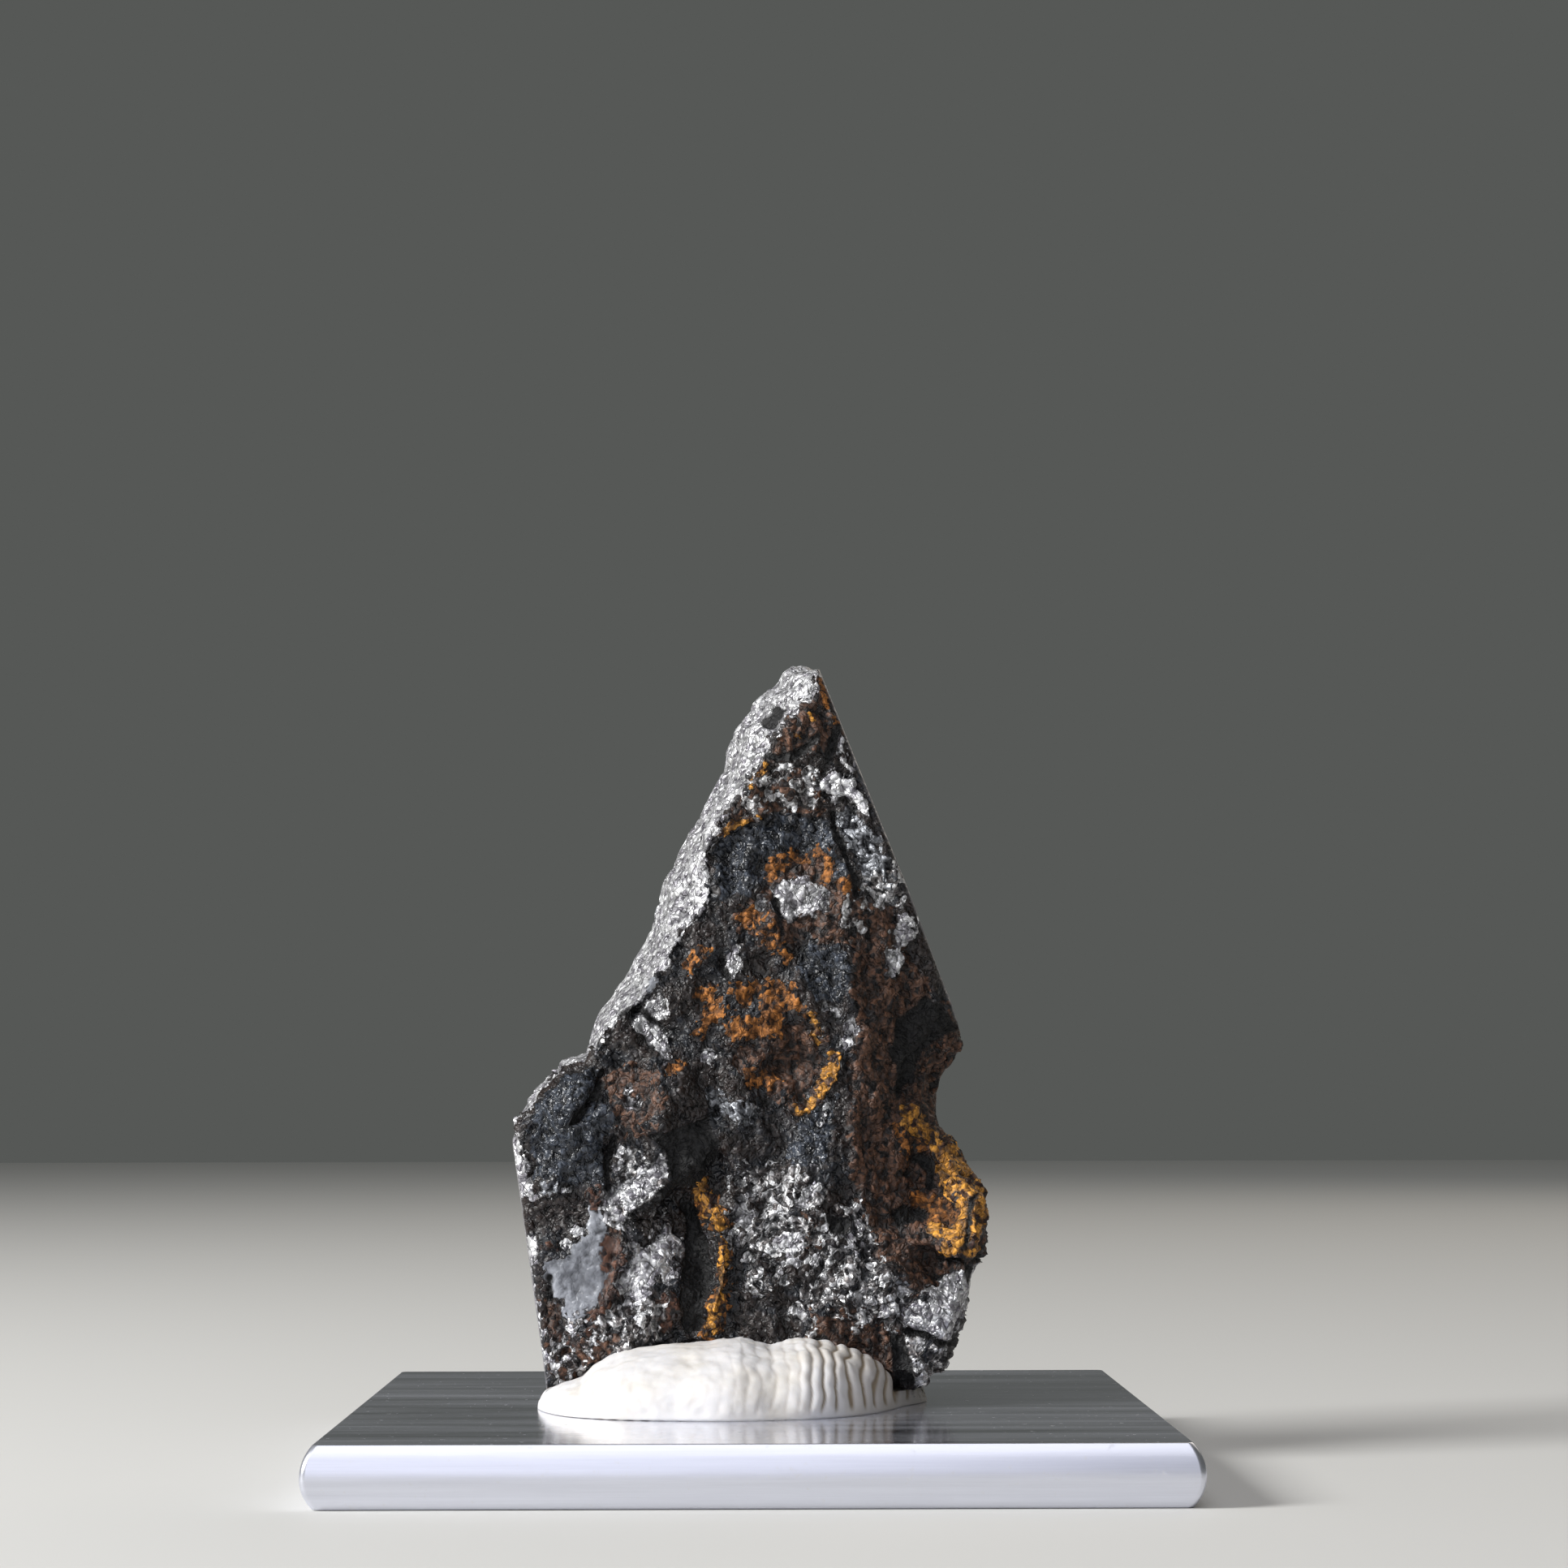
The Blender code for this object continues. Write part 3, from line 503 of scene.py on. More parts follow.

# %% [markdown]
# ## Where each finish lies
#
# The crust is a map of finishes. Each is given as outlines of areas and as strokes with a half width, placed on
# the front of the stone, x to the right and z up. Bare is bright metal that has lost its scale, pewter
# is duller metal, and grains are specks of metal on dark crust. Rust and ochre are brown and orange iron
# hydroxides, umber is brown crust, slate is smooth blue-grey scale, and the painted shadow is near-black colour
# laid into hollows and cracks where shade falls.

# %% Outlines and strokes
AREAS = {
    "bare": [
        # bevel band
        [(3.7, 45.8), (2.3, 46), (0.8, 45), (0.5, 44.5), (0.2, 43.9), (-0.5, 43.4), (-1.1, 42.8),
         (-1.8, 42.1), (-2.4, 41.3), (-2.6, 40.5), (-2.7, 39.7), (-3.1, 38.9), (-3.6, 38), (-4, 37.2),
         (-4.6, 35.8), (-5.2, 34.8), (-5.8, 33.5), (-6.4, 32.6), (-6.7, 31.5), (-7.1, 30.1), (-7.7, 28.7),
         (-8.5, 27.2), (-9.5, 25.9), (-10.2, 25), (-10.5, 23.9), (-10.7, 23.1), (-8.8, 23), (-8.4, 23.8),
         (-7.9, 24.5), (-7.2, 25.2), (-6.5, 25.4), (-6.1, 26.4), (-5.5, 27.2), (-4.8, 27.7), (-4.5, 28.8),
         (-3.7, 29.9), (-2.8, 30.8), (-2.4, 31.7), (-2.5, 33.5), (-2.3, 34.6), (-1.7, 35.9), (-1, 36.9),
         (-0.2, 38.2), (0.5, 39), (0.8, 39.8), (1, 40.6), (1.7, 41.4), (2.4, 42.3), (3.2, 42.8),
         (3.7, 43.5)],
        # right shoulder
        [(4.1, 38.7), (4.6, 39.1), (5.3, 38.5), (6, 38.3), (6.3, 37.3), (6.8, 36), (6.2, 36.2), (5.9, 37),
         (5.2, 37.2), (4.6, 36.9), (4.1, 37.6), (3.7, 38.2)],
        # upper right edge
        [(4.7, 41), (5.2, 40.5), (5.7, 39.2), (5.9, 38.4), (5.3, 38.8), (5, 39.4), (4.7, 40.1)],
        # silver patch
        [(1.1, 32), (1.5, 32.5), (2.2, 32.7), (2.9, 33.1), (3.4, 32.8), (3.9, 32.2), (4.2, 31.8),
         (4.1, 31), (3.5, 30.5), (2.8, 30.7), (2.1, 30.2), (1.6, 30.4), (1.3, 31.2)],
        # spot
        [(-1.6, 28.3), (-1, 28.6), (-0.6, 28), (-0.7, 27.3), (-1.1, 27), (-1.5, 27.5)],
        # right edge metal
        [(8.1, 30.6), (8.8, 30.9), (9.2, 30), (9.4, 29.1), (8.7, 28.8), (8, 29), (7.9, 29.6), (8.2, 30)],
        # right edge metal below
        [(7.6, 28.7), (8.4, 28.8), (8.8, 28.1), (8.3, 27.1), (7.5, 27.1), (7.7, 27.9)],
        # below the notch
        [(-6.5, 24.8), (-6, 25.7), (-5.2, 26.2), (-4.8, 25.4), (-5, 24.4), (-4.9, 23.3), (-5.2, 22.8),
         (-5.8, 23.2), (-6.3, 23.7), (-6.7, 24.3)],
        # beside the plate edge
        [(-7.4, 18), (-7.1, 17.3), (-7.3, 16.4), (-7.7, 16.3), (-7.7, 17.1)],
        # above the ledge
        [(-6.6, 16.3), (-6.1, 16.8), (-5.7, 16.3), (-5.2, 16.9), (-4.6, 17.1), (-4.4, 16.4), (-4.8, 15.7),
         (-5.2, 16), (-5.5, 15.4), (-5.9, 14.6), (-6.6, 13.9), (-7.1, 13.8), (-7, 14.7), (-7.2, 15.6)],
        # left of the ledge
        [(-8.2, 15.2), (-7.3, 15.7), (-6.8, 15), (-7.3, 14.3), (-7, 13.7), (-7.1, 13.1), (-7.7, 13.3),
         (-8.4, 13.7), (-8.7, 14.3), (-8.3, 14.7)],
        # mound
        [(-7.4, 13.2), (-6.7, 13.1), (-6.1, 12.2), (-5.7, 12.4), (-5.5, 12.9), (-4.7, 12.8), (-3.9, 12.4),
         (-3.7, 11.9), (-4.3, 11.5), (-4.6, 11), (-4.1, 10.7), (-4.4, 10.2), (-5.2, 10.3), (-5.7, 9.7),
         (-6.2, 9), (-6.8, 9.2), (-7.1, 8.8), (-7.7, 8.6), (-7.6, 9.2), (-7.3, 9.6), (-7.6, 10.1),
         (-7.1, 11), (-6.5, 11.5), (-6.8, 12.3)],
        # beside the ridge
        [(-1.2, 13.7), (-0.6, 14.1), (-0.1, 13.8), (0.3, 13.9), (0.1, 13.2), (-0.3, 12.9), (-1, 12.9)],
        # middle
        [(1, 12.6), (1.8, 12.9), (2.6, 12.8), (2.9, 12.1), (3.3, 12.3), (2.8, 11.8), (2.3, 11.6),
         (2.4, 11), (1.8, 11.2), (1.4, 11.7), (0.6, 11.9), (0.1, 12), (0.8, 12.2)],
        # left edge
        [(-12.8, 12.8), (-12.1, 12.7), (-11.8, 12), (-12, 11.2), (-12.5, 11)],
        # left edge above
        [(-13, 15.4), (-12.4, 15.5), (-12, 14.8), (-12.3, 14.6), (-12.9, 14.8)],
        # low plate top
        [(-10.2, 13), (-9.7, 13.4), (-9.4, 13.1), (-9.7, 12.7), (-10.1, 12.7)],
        # foot left
        [(-10.2, 7.5), (-9.5, 8), (-9, 7.9), (-9.2, 7.4), (-9.9, 7.1)],
        # corner
        [(13.5, 10.3), (11.3, 9.7), (10.4, 9.3), (9.8, 9.4), (9.1, 9.1), (8.5, 8.7), (8.5, 7.8),
         (8.7, 7.3), (9.5, 7.2), (10.3, 6.7), (11.1, 6.6), (11.7, 7.8), (12.2, 8.8), (13.6, 9.9)],
        # rib foot
        [(2.5, 15), (3.3, 15.4), (3.5, 14.7), (3.2, 14.3), (2.6, 14.1)],
        # ring left
        [(3.6, 12.9), (4.1, 13.6), (4.4, 13.5), (4.1, 12.8)],
        # ring low
        [(5, 12.6), (5.5, 12.8), (6, 12.1), (5.8, 11.5), (5.1, 11.8)],
        # ring right
        [(5.6, 13.3), (6, 13.7), (6.3, 13), (6, 12.7)],
        # above the corner
        [(9.5, 9.5), (10, 10.1), (11, 10.4), (13.4, 11), (13.4, 9.5), (10, 9)],
    ],
    "pewter": [
        # right strip
        [(4.6, 36.2), (5.4, 36.6), (6.3, 36.4), (6.8, 35.3), (7.1, 34.3), (7.6, 33.6), (8.1, 32.3),
         (8.5, 31.5), (7.6, 31.3), (6.9, 32.3), (6.4, 31.9), (5.9, 32.6), (5.6, 33.7), (5.1, 34.6),
         (4.7, 35.3)],
        # saddle
        [(-2.7, 20.7), (-2, 20.8), (-1.5, 20.1), (-0.6, 20.1), (0.3, 19.6), (-0.1, 18.9), (-1, 19.2),
         (-1.8, 19.4), (-2.5, 19.7)],
        # above the corner
        [(7.3, 9.9), (8.2, 10.3), (8.9, 9.6), (8.3, 9.3), (7.6, 9.4)],
        # left
        [(-12, 15.5), (-11.1, 15.5), (-11.2, 14.7), (-11.9, 14.8)],
    ],
    "grains": [
        # under the cap
        [(-0.7, 36.9), (0.4, 38.3), (1.3, 38.9), (3.3, 39), (3.9, 38.1), (3.5, 36.7), (2.6, 36.3),
         (1, 36.4), (-0.1, 36.1)],
        # right of the patch
        [(4.9, 31.5), (6, 31.7), (6.3, 30.3), (5.6, 29), (5, 29.9)],
        # right edge
        [(6, 32.6), (8.3, 33.5), (8.8, 31.2), (7.4, 30.9), (6.3, 31.2)],
        # boss
        [(3.3, 11), (5.1, 11.5), (6.9, 11.3), (7.8, 10.2), (8.8, 9.2), (8.3, 7.4), (7.1, 7.8), (5.9, 7.4),
         (5, 8.4), (3.2, 8.7), (2.6, 9.6)],
        # corner foot
        [(8, 7.1), (8.9, 7.1), (10.4, 6.4), (11.1, 6.5), (10.5, 5.4), (9.6, 4.7), (8.5, 4.7), (8.3, 5.6)],
        # left foot
        [(-11.6, 6.6), (-10.2, 6.7), (-9, 6.4), (-9.2, 5.2), (-10.2, 4.8), (-11.1, 4.8)],
        # left foot above
        [(-10.2, 8.1), (-8.4, 8.3), (-7.1, 9.2), (-5.3, 9.2), (-5.1, 7.4), (-5.7, 6.8), (-7.5, 6.7),
         (-9.3, 6.9)],
        # above the ledge
        [(-7.3, 17.3), (-5.7, 17), (-5.1, 15.5), (-6.2, 13.7), (-7.7, 13.5), (-8, 15)],
        # under the ledge
        [(-5.9, 13.7), (-5.1, 13.9), (-4.7, 13), (-5.5, 12.7)],
        # ring
        [(3.7, 14), (6.3, 14.1), (6.6, 12.3), (6.2, 10.9), (4.2, 10.9), (3.4, 12.3)],
        # foot middle
        [(1.7, 8.5), (2.6, 8.8), (3.2, 7.9), (3.2, 7.3), (2.6, 7.6), (2.4, 8.2)],
        # beside the ridge
        [(-0.1, 10.4), (0.6, 10.1), (0.4, 9.3), (-0.2, 9.5)],
        # middle
        [(-1, 16.3), (1.5, 16.3), (3.7, 16.3), (3.5, 12.3), (0.6, 11), (-1.2, 11.4)],
    ],
    "rust": [
        # upper left knot
        [(-3.9, 27.9), (-3.6, 28.4), (-3.1, 28.8), (-2.1, 28.6), (-2.7, 28.1), (-3.1, 27.5), (-3.5, 27.2),
         (-3.8, 27.3)],
        # left curl
        [(-3.3, 26), (-3, 26.4), (-2.3, 26.5), (-1.8, 26.2), (-1.6, 25.6), (-1.6, 24.9), (-2, 24.5),
         (-2.3, 24.6), (-2.7, 24.2), (-3.1, 23.7), (-3.4, 24), (-2.9, 24.6), (-2.7, 25.2), (-2.6, 25.6),
         (-3.1, 25.8)],
        # S curve
        [(-1.3, 26.7), (-0.9, 27), (-0.2, 26.9), (0.6, 27), (1.5, 26.9), (2.6, 26.2), (2.8, 25.3),
         (1.9, 25.3), (1.6, 24.4), (1.6, 23.8), (1, 23.4), (0.1, 23.7), (-0.6, 23.3), (-1.2, 23.3),
         (-1.3, 24.4), (-1, 24.6), (-0.4, 24.8), (0.2, 24.6), (0.6, 25.1), (0.5, 25.5), (0.1, 26),
         (-0.1, 25.4), (-0.9, 25.3), (-1.1, 26)],
        # below the curl
        [(-4.9, 22.1), (-4, 22.3), (-3.9, 21.9), (-4.4, 21.4), (-4.9, 21.6)],
        # above
        [(0.2, 30.1), (1.4, 30.2), (1.6, 29.4), (1.3, 28.4), (0.6, 28.7)],
        # above left
        [(-0.8, 30.8), (0.4, 31.1), (0.9, 30.6), (0.1, 29.9), (-0.6, 29.6)],
        # beside the patch
        [(4.7, 32.4), (5.6, 32.5), (6, 31.8), (5.1, 31.5)],
        # flange face
        [(8.6, 14.6), (8.9, 15), (9.6, 14.9), (9.9, 14.4), (9.6, 14.1), (8.9, 14.1)],
        # below the knob
        [(8.2, 18.8), (8.6, 18.7), (9.2, 18.5), (9.8, 18.3), (10, 17.6), (9.5, 17.3), (8.9, 17.6),
         (8.5, 17), (8.1, 17.2)],
        # flange back
        [(10.8, 16.8), (11.7, 17), (12.3, 15.8), (12.6, 15), (12.1, 14.5), (11.8, 13.6), (11.3, 13.6),
         (10.8, 14.8), (10.5, 15.8)],
        # pit edge
        [(-0.6, 21.8), (1, 22.1), (1.6, 21.3), (1, 20.7), (-0.2, 20.9)],
        # inside the flange
        [(9.8, 14.5), (11.4, 14.6), (11.6, 13.6), (11, 12.9), (9.8, 13)],
    ],
    "umber": [
        # right side
        [(5.3, 31.7), (7.8, 31), (8.4, 29), (10.1, 25.8), (12.1, 24.4), (11.9, 21.7), (10.7, 19),
         (13.2, 14.5), (12.7, 11), (12.2, 9.5), (8.6, 9.4), (7.1, 11.6), (6, 14.1), (5.3, 18.1),
         (5.5, 22.6), (5.7, 27.1)],
        # pit
        [(-1, 23.1), (0.6, 23.7), (2.6, 24.6), (3.6, 23.8), (4.5, 22.4), (4.1, 21.1), (2.8, 19.8),
         (1.7, 20.2), (0.1, 20.7), (-0.7, 21.7)],
        # second pillow
        [(-8.4, 21.5), (-6.2, 21.8), (-4.9, 20.8), (-5.3, 18.8), (-7.1, 18.1), (-7.9, 19.4)],
        # cap
        [(1.9, 42.3), (3.3, 43), (3.8, 44.3), (4.7, 43.1), (5.3, 41.1), (4.6, 39.7), (3.3, 39.7),
         (1, 39.2), (0.8, 40.1), (1.7, 41.4)],
        # under the cap
        [(-1.7, 35.8), (-0.1, 38.1), (1.5, 38.8), (4, 38.8), (3.8, 36.2), (0.6, 36.1), (-1.7, 35.2)],
        # around the patch
        [(0.8, 34), (4.7, 34.4), (6, 31.7), (5.6, 29), (1.5, 29), (-1, 29.4), (-1, 31.2), (1, 31.2)],
        # left edge low
        [(-12, 9.7), (-10.7, 9), (-10.5, 7.5), (-7.5, 7.4), (-7.5, 6.4), (-10.2, 4.8), (-11.5, 5.2)],
        # foot right
        [(3.2, 8.5), (5.9, 8.7), (8.2, 7.4), (8.2, 4.7), (3.2, 6.5)],
        # left of the mound
        [(-8.4, 13.5), (-7.5, 13.5), (-6.9, 11), (-7.9, 8.3), (-9.1, 7.6), (-9.4, 7.9), (-8.4, 8.8),
         (-7.9, 10.3), (-8.3, 11.9)],
        # rib foot
        [(2.6, 13.7), (3.5, 13.7), (3.7, 11.9), (2.6, 12.3)],
    ],
    "ochre": [
        # flange
        [(10, 18.4), (10.6, 17.9), (11, 17.6), (11.6, 17.2), (12, 16.5), (12.4, 15.8), (12.8, 15.2),
         (13.1, 14.5), (13.1, 13.6), (12.9, 12.7), (12.7, 12.1), (12.4, 11.6), (11, 11.6), (10.5, 11.8),
         (10.2, 12.2), (9.8, 12.5), (9.7, 12.9), (10.4, 13.2), (11, 13.1), (11.4, 13.6), (11.4, 14.3),
         (10.8, 14.8), (10.7, 15.3), (10.4, 15.9), (10.4, 16.5), (10.1, 17.1), (9.9, 17.9)],
        # knob
        [(8.3, 19.1), (8.6, 19.8), (9.3, 19.9), (9.8, 19.2), (10, 18.3), (10, 17.6), (9.4, 18),
         (8.9, 18.3), (8.4, 18.6)],
    ],
    "blued": [
        # left pillow
        [(-11.7, 20.9), (-10.7, 21.3), (-9.4, 22.2), (-8.6, 21.8), (-8.9, 20.4), (-8, 19.4), (-7.8, 18.4),
         (-8.1, 17.3), (-8.1, 15.5), (-9.3, 15.6), (-10.7, 15.6), (-12.3, 15.7), (-12.5, 18.2)],
        # upper right
        [(2.6, 28.7), (5.1, 29), (5.3, 27.1), (5, 25.6), (3.5, 25.7), (2.8, 27.2)],
        # upper dish
        [(-1.5, 35.9), (0.4, 36.1), (3.3, 36.2), (4.3, 35.8), (4.9, 34.4), (5.7, 32.8), (5.4, 31.9),
         (4.4, 32.4), (4.1, 33.4), (3.3, 34.1), (1.5, 34.1), (0.8, 32.6), (-0.3, 31.5), (-2, 31.5),
         (-2.1, 34)],
        # rib
        [(3.3, 20.3), (4.6, 20.4), (4.4, 18.1), (3.8, 16.3), (2.6, 16.3), (1.7, 17.2), (2.6, 18.6)],
    ],
    "slate": [
        # low plate
        [(-9.5, 12.7), (-8.2, 12.9), (-7.4, 12.4), (-7.3, 11.9), (-8, 11.8), (-7.8, 11), (-7.8, 10.2),
         (-8.2, 9.4), (-8.5, 8.7), (-9.2, 8.2), (-10, 7.8), (-10.6, 8.3), (-10.5, 9.2), (-11.1, 9.1),
         (-11.3, 9.9), (-11.5, 11), (-10.2, 11.4)],
        # between the plates
        [(-9.3, 14.6), (-8.4, 14.1), (-8.2, 12.9), (-9.3, 12.9)],
        # dark cell
        [(-6.4, 26.8), (-6, 27.2), (-5.4, 27.1), (-5.4, 26.4), (-5.9, 26.2), (-6.4, 26.3)],
    ],
    # Painted shadow: near-black areas in hollows, scoops and under ledges, where shade falls.
    "painted_shadow": [
        # notch scoop
        [(9.6, 26), (11, 25.4), (11.6, 24.2), (10.6, 23.6), (9.8, 23), (9.1, 21.3), (8.3, 20.4),
         (7.9, 22.6), (8.1, 24), (8.9, 24.9)],
        # hollow
        [(-4, 14.7), (-3, 14.2), (-2.6, 12.8), (-2.6, 10.1), (-2.9, 7.6), (-3.7, 7.3), (-4, 9.2),
         (-3.8, 11), (-3.6, 12.3)],
        # flange pocket
        [(7.9, 14), (8.3, 14.3), (8.9, 14.1), (9.5, 14), (9.8, 13.7), (9.6, 13.5), (8.8, 13.3),
         (8.2, 13.4)],
        # flange hollow
        [(9, 17), (9.6, 17.1), (10.1, 16.7), (10.3, 16.1), (10.2, 15.3), (9.8, 15.2), (9.7, 16),
         (9.3, 16.5)],
        # flange dimple
        [(8.3, 16), (8.6, 16.2), (8.9, 15.9), (8.6, 15.6)],
        # ring middle
        [(4.2, 13.7), (5.6, 13.7), (5.3, 12.8), (4.3, 12.8)],
        # corner gap
        [(7.6, 7.2), (8.3, 7), (8.9, 4.7), (7.9, 4.7)],
        # second pillow
        [(-5.7, 18.2), (-2.6, 19), (-1.9, 17.7), (-2.6, 16.4), (-4.4, 15.5), (-4.8, 17.3)],
    ],
    "maroon": [
        # curl
        [(-8.2, 11.7), (-7.6, 11.9), (-6.9, 11.7), (-6.8, 11.2), (-7.4, 10.6), (-7.7, 10.9), (-8.1, 11.2)],
        # left of the ledge
        [(-9, 15.3), (-8.5, 15.4), (-8.3, 14.8), (-8.5, 14.1), (-8.9, 14.2), (-9.2, 14.8)],
        # beside the hollow
        [(-5.6, 9.3), (-4.4, 9.4), (-4.1, 8.7), (-4.6, 7.4), (-5.2, 7.4), (-5.6, 8.3)],
        # left foot
        [(-11.5, 7.4), (-10.2, 7.6), (-9.2, 7.4), (-9.7, 6.7), (-10.9, 6.5)],
    ],
}
STROKES = {
    "bare": [
        # tail
        (0.14, [(-5.1, 23.2), (-5, 22.6)]),
        # dot
        (0.20, [(-4.8, 22.3)]),
        # dot
        (0.20, [(-6.8, 20.9)]),
        # dash
        (0.18, [(-7.1, 20.1), (-6.7, 19.9), (-6.4, 19.8)]),
        # dot
        (0.27, [(-2.5, 22.5)]),
        # dot
        (0.27, [(0.4, 31.3)]),
        # streak
        (0.20, [(4.1, 25.4), (4.6, 25.2), (4.9, 24.9)]),
        # streak
        (0.25, [(5.4, 24.8), (5.6, 24.2), (5.2, 23.4)]),
        # shoulder rim
        (0.41, [(-9.6, 22.9), (-10.5, 22.7), (-11.2, 22.2), (-12, 21.5), (-12.6, 20.6), (-13.1, 19.7),
         (-13.5, 18.8), (-13.3, 17.9), (-13.2, 16.9), (-13, 16.1), (-12.9, 15.5)]),
        # beside the ridge
        (0.20, [(-1, 12.8), (-0.8, 11.7)]),
        # beside the middle
        (0.23, [(-0.1, 12), (0.5, 11.7), (0.2, 11.2)]),
        # left edge
        (0.14, [(-12.5, 11), (-12.2, 9.7), (-11.9, 7.5), (-11.5, 5.2)]),
        # dot
        (0.20, [(-10.4, 12.3)]),
        # dot
        (0.20, [(-10.3, 15.2)]),
        # foot curl
        (0.14, [(-10.9, 5.5), (-10.2, 5.9), (-9.7, 5.8), (-9.2, 5.9)]),
        # rib
        (0.23, [(3.5, 16.3), (3.4, 15.5), (3.3, 14.8), (2.8, 14.3)]),
        # dot
        (0.23, [(-0.7, 15.6)]),
        # dot
        (0.20, [(-0.2, 15.1)]),
        # dot
        (0.27, [(-0.7, 14.7)]),
        # dash
        (0.18, [(1, 10.6), (1.7, 10.2)]),
        # dash
        (0.18, [(1.7, 8.3), (2.4, 8.6), (3.1, 7.7)]),
        # pit edge
        (0.14, [(3.8, 18.9), (4.2, 20.1)]),
        # dot
        (0.23, [(0.2, 10.1)]),
        # dot
        (0.18, [(0, 9.5)]),
        # boss dot
        (0.27, [(6.5, 9.1)]),
        # boss dot
        (0.18, [(4.8, 10.2)]),
        # boss dot
        (0.18, [(5.2, 9.5)]),
        # boss dash
        (0.16, [(3.2, 11.2), (3.4, 11.5)]),
        # low dash
        (0.18, [(7.1, 8.2), (7.4, 8.5)]),
    ],
    "rust": [
        # ring
        (0.32, [(1.2, 32.7), (1.3, 33.5), (1.9, 33.9), (2.6, 33.7), (3.3, 34), (3.9, 34.1), (4.3, 33.4),
         (4.2, 32.5)]),
        # tail
        (0.18, [(-2.6, 24.7), (-3, 23.8)]),
        # tail
        (0.23, [(1.3, 29), (2, 28.1)]),
        # right rim
        (0.18, [(3.7, 44.1), (4.2, 42.7), (4.7, 41.5)]),
        # arc
        (0.16, [(1.7, 25.3), (2.6, 25.4), (3.2, 24.9)]),
        # rust ridge
        (0.55, [(-3, 15.7), (-2.8, 15.1), (-2.3, 14.5), (-2, 13.6), (-1.6, 12.8), (-1.5, 11.9),
         (-1.6, 11), (-1.6, 10.1), (-1.9, 9.2), (-2.1, 8.4), (-2.2, 7.5)]),
    ],
    "ochre": [
        # rust ridge
        (0.32, [(-3, 15.7), (-2.8, 15.1), (-2.3, 14.5), (-2, 13.6), (-1.6, 12.8), (-1.5, 11.9),
         (-1.6, 11), (-1.6, 10.1), (-1.9, 9.2), (-2.1, 8.4), (-2.2, 7.5)]),
        # pit rim above
        (0.18, [(3.3, 25), (3.6, 24.3), (3.7, 23.6)]),
        # pit rim
        (0.32, [(4.6, 22.6), (4.4, 21.6), (4, 20.8), (3.4, 20.1), (2.6, 19.7)]),
        # cap fleck
        (0.27, [(3.3, 41.7)]),
        # cap fleck
        (0.18, [(2.6, 40.6)]),
        # under the cap
        (0.20, [(0.9, 39.1), (0.3, 38.3), (-0.1, 37.8)]),
        # dish border
        (0.14, [(-1.8, 35.2), (-1, 35.7), (0.4, 36.1)]),
    ],
    # Painted shadow: near-black strokes along ledges and cracks, where shade falls.
    "painted_shadow": [
        # spot in the bevel
        (0.36, [(0.8, 41.7), (1.3, 42.2)]),
        # ledge
        (0.23, [(-2.2, 17), (-2.8, 16.4), (-3.5, 15.9), (-4.4, 15.4), (-5.2, 14.8)]),
        # ledge tail
        (0.11, [(-5.2, 14.8), (-6, 14.3), (-6.9, 13.8)]),
        # plate edge
        (0.16, [(-7.7, 18.1), (-7.9, 17.3), (-8.1, 16.4), (-8.1, 15.4)]),
        # left crack
        (0.18, [(-8.3, 21.8), (-8.6, 20.6), (-9.2, 19.9), (-10, 18.9)]),
        # right crack
        (0.14, [(4.5, 36.2), (4.7, 35.3), (5.1, 34.2), (5.7, 32.7), (5.8, 31.7)]),
        # patch crack
        (0.11, [(1.3, 31.3), (1.5, 30.3), (1.7, 29.4)]),
        # corner crack
        (0.14, [(8.5, 7.3), (9.5, 7.2), (10.3, 6.7), (11, 6.5)]),
        # plate crack
        (0.11, [(-11.3, 10.5), (-11.3, 9.2)]),
        # cap crack
        (0.18, [(4.9, 41.2), (4.6, 40.4), (4.3, 39.4)]),
        # below the cap
        (0.18, [(0.8, 39.6), (1.4, 39.4), (2.6, 39.6), (3.6, 40.6)]),
        # spot rim
        (0.14, [(-1.7, 28.4), (-1.7, 27.5), (-1.4, 27)]),
        # flange edge
        (0.18, [(10.4, 11.4), (12.6, 11.4)]),
        # flange groove
        (0.08, [(12.2, 14.6), (12, 14), (12, 13.4), (11.9, 12.7), (11.8, 12)]),
        # arc under the bevel
        (0.12, [(-7.5, 25), (-6.9, 25.3), (-6.2, 25.1), (-5.8, 24.7), (-5.1, 24.3)]),
        # flange corner
        (0.23, [(12, 11), (12.2, 10.2)]),
    ],
    "maroon": [
        # plate border
        (0.55, [(-7.7, 12.1), (-7.9, 11.4), (-7.5, 11.1), (-7.4, 10.3), (-7.8, 9.6), (-8, 8.7),
         (-8.5, 8.2), (-9, 7.6)]),
        # left edge
        (0.27, [(-12, 12.1), (-11.3, 12)]),
    ],
}


def distance_to(line, px, pz):
    """How far each spot is from a line of points, in millimetres."""
    best = np.full(len(px), np.inf)
    for (x0, z0), (x1, z1) in zip(line, line[1:] or line):
        run_x, run_z = x1 - x0, z1 - z0
        share = (((px - x0) * run_x + (pz - z0) * run_z) / max(run_x**2 + run_z**2, 1e-9)).clip(0, 1)
        best = np.minimum(best, np.hypot(px - x0 - share * run_x, pz - z0 - share * run_z))
    return best


def is_inside(outline, px, pz):
    """Whether each spot is inside the outline: a line to the right from it crosses the outline an odd number
    of times."""
    inside = np.zeros(len(px), bool)
    for (x0, z0), (x1, z1) in zip(outline, outline[1:] + outline[:1]):
        if z0 != z1:
            inside ^= ((z0 > pz) != (z1 > pz)) & (px < x0 + (x1 - x0) * (pz - z0) / (z1 - z0))
    return inside


print(sum(map(len, AREAS.values())), "areas,", sum(map(len, STROKES.values())), "strokes")

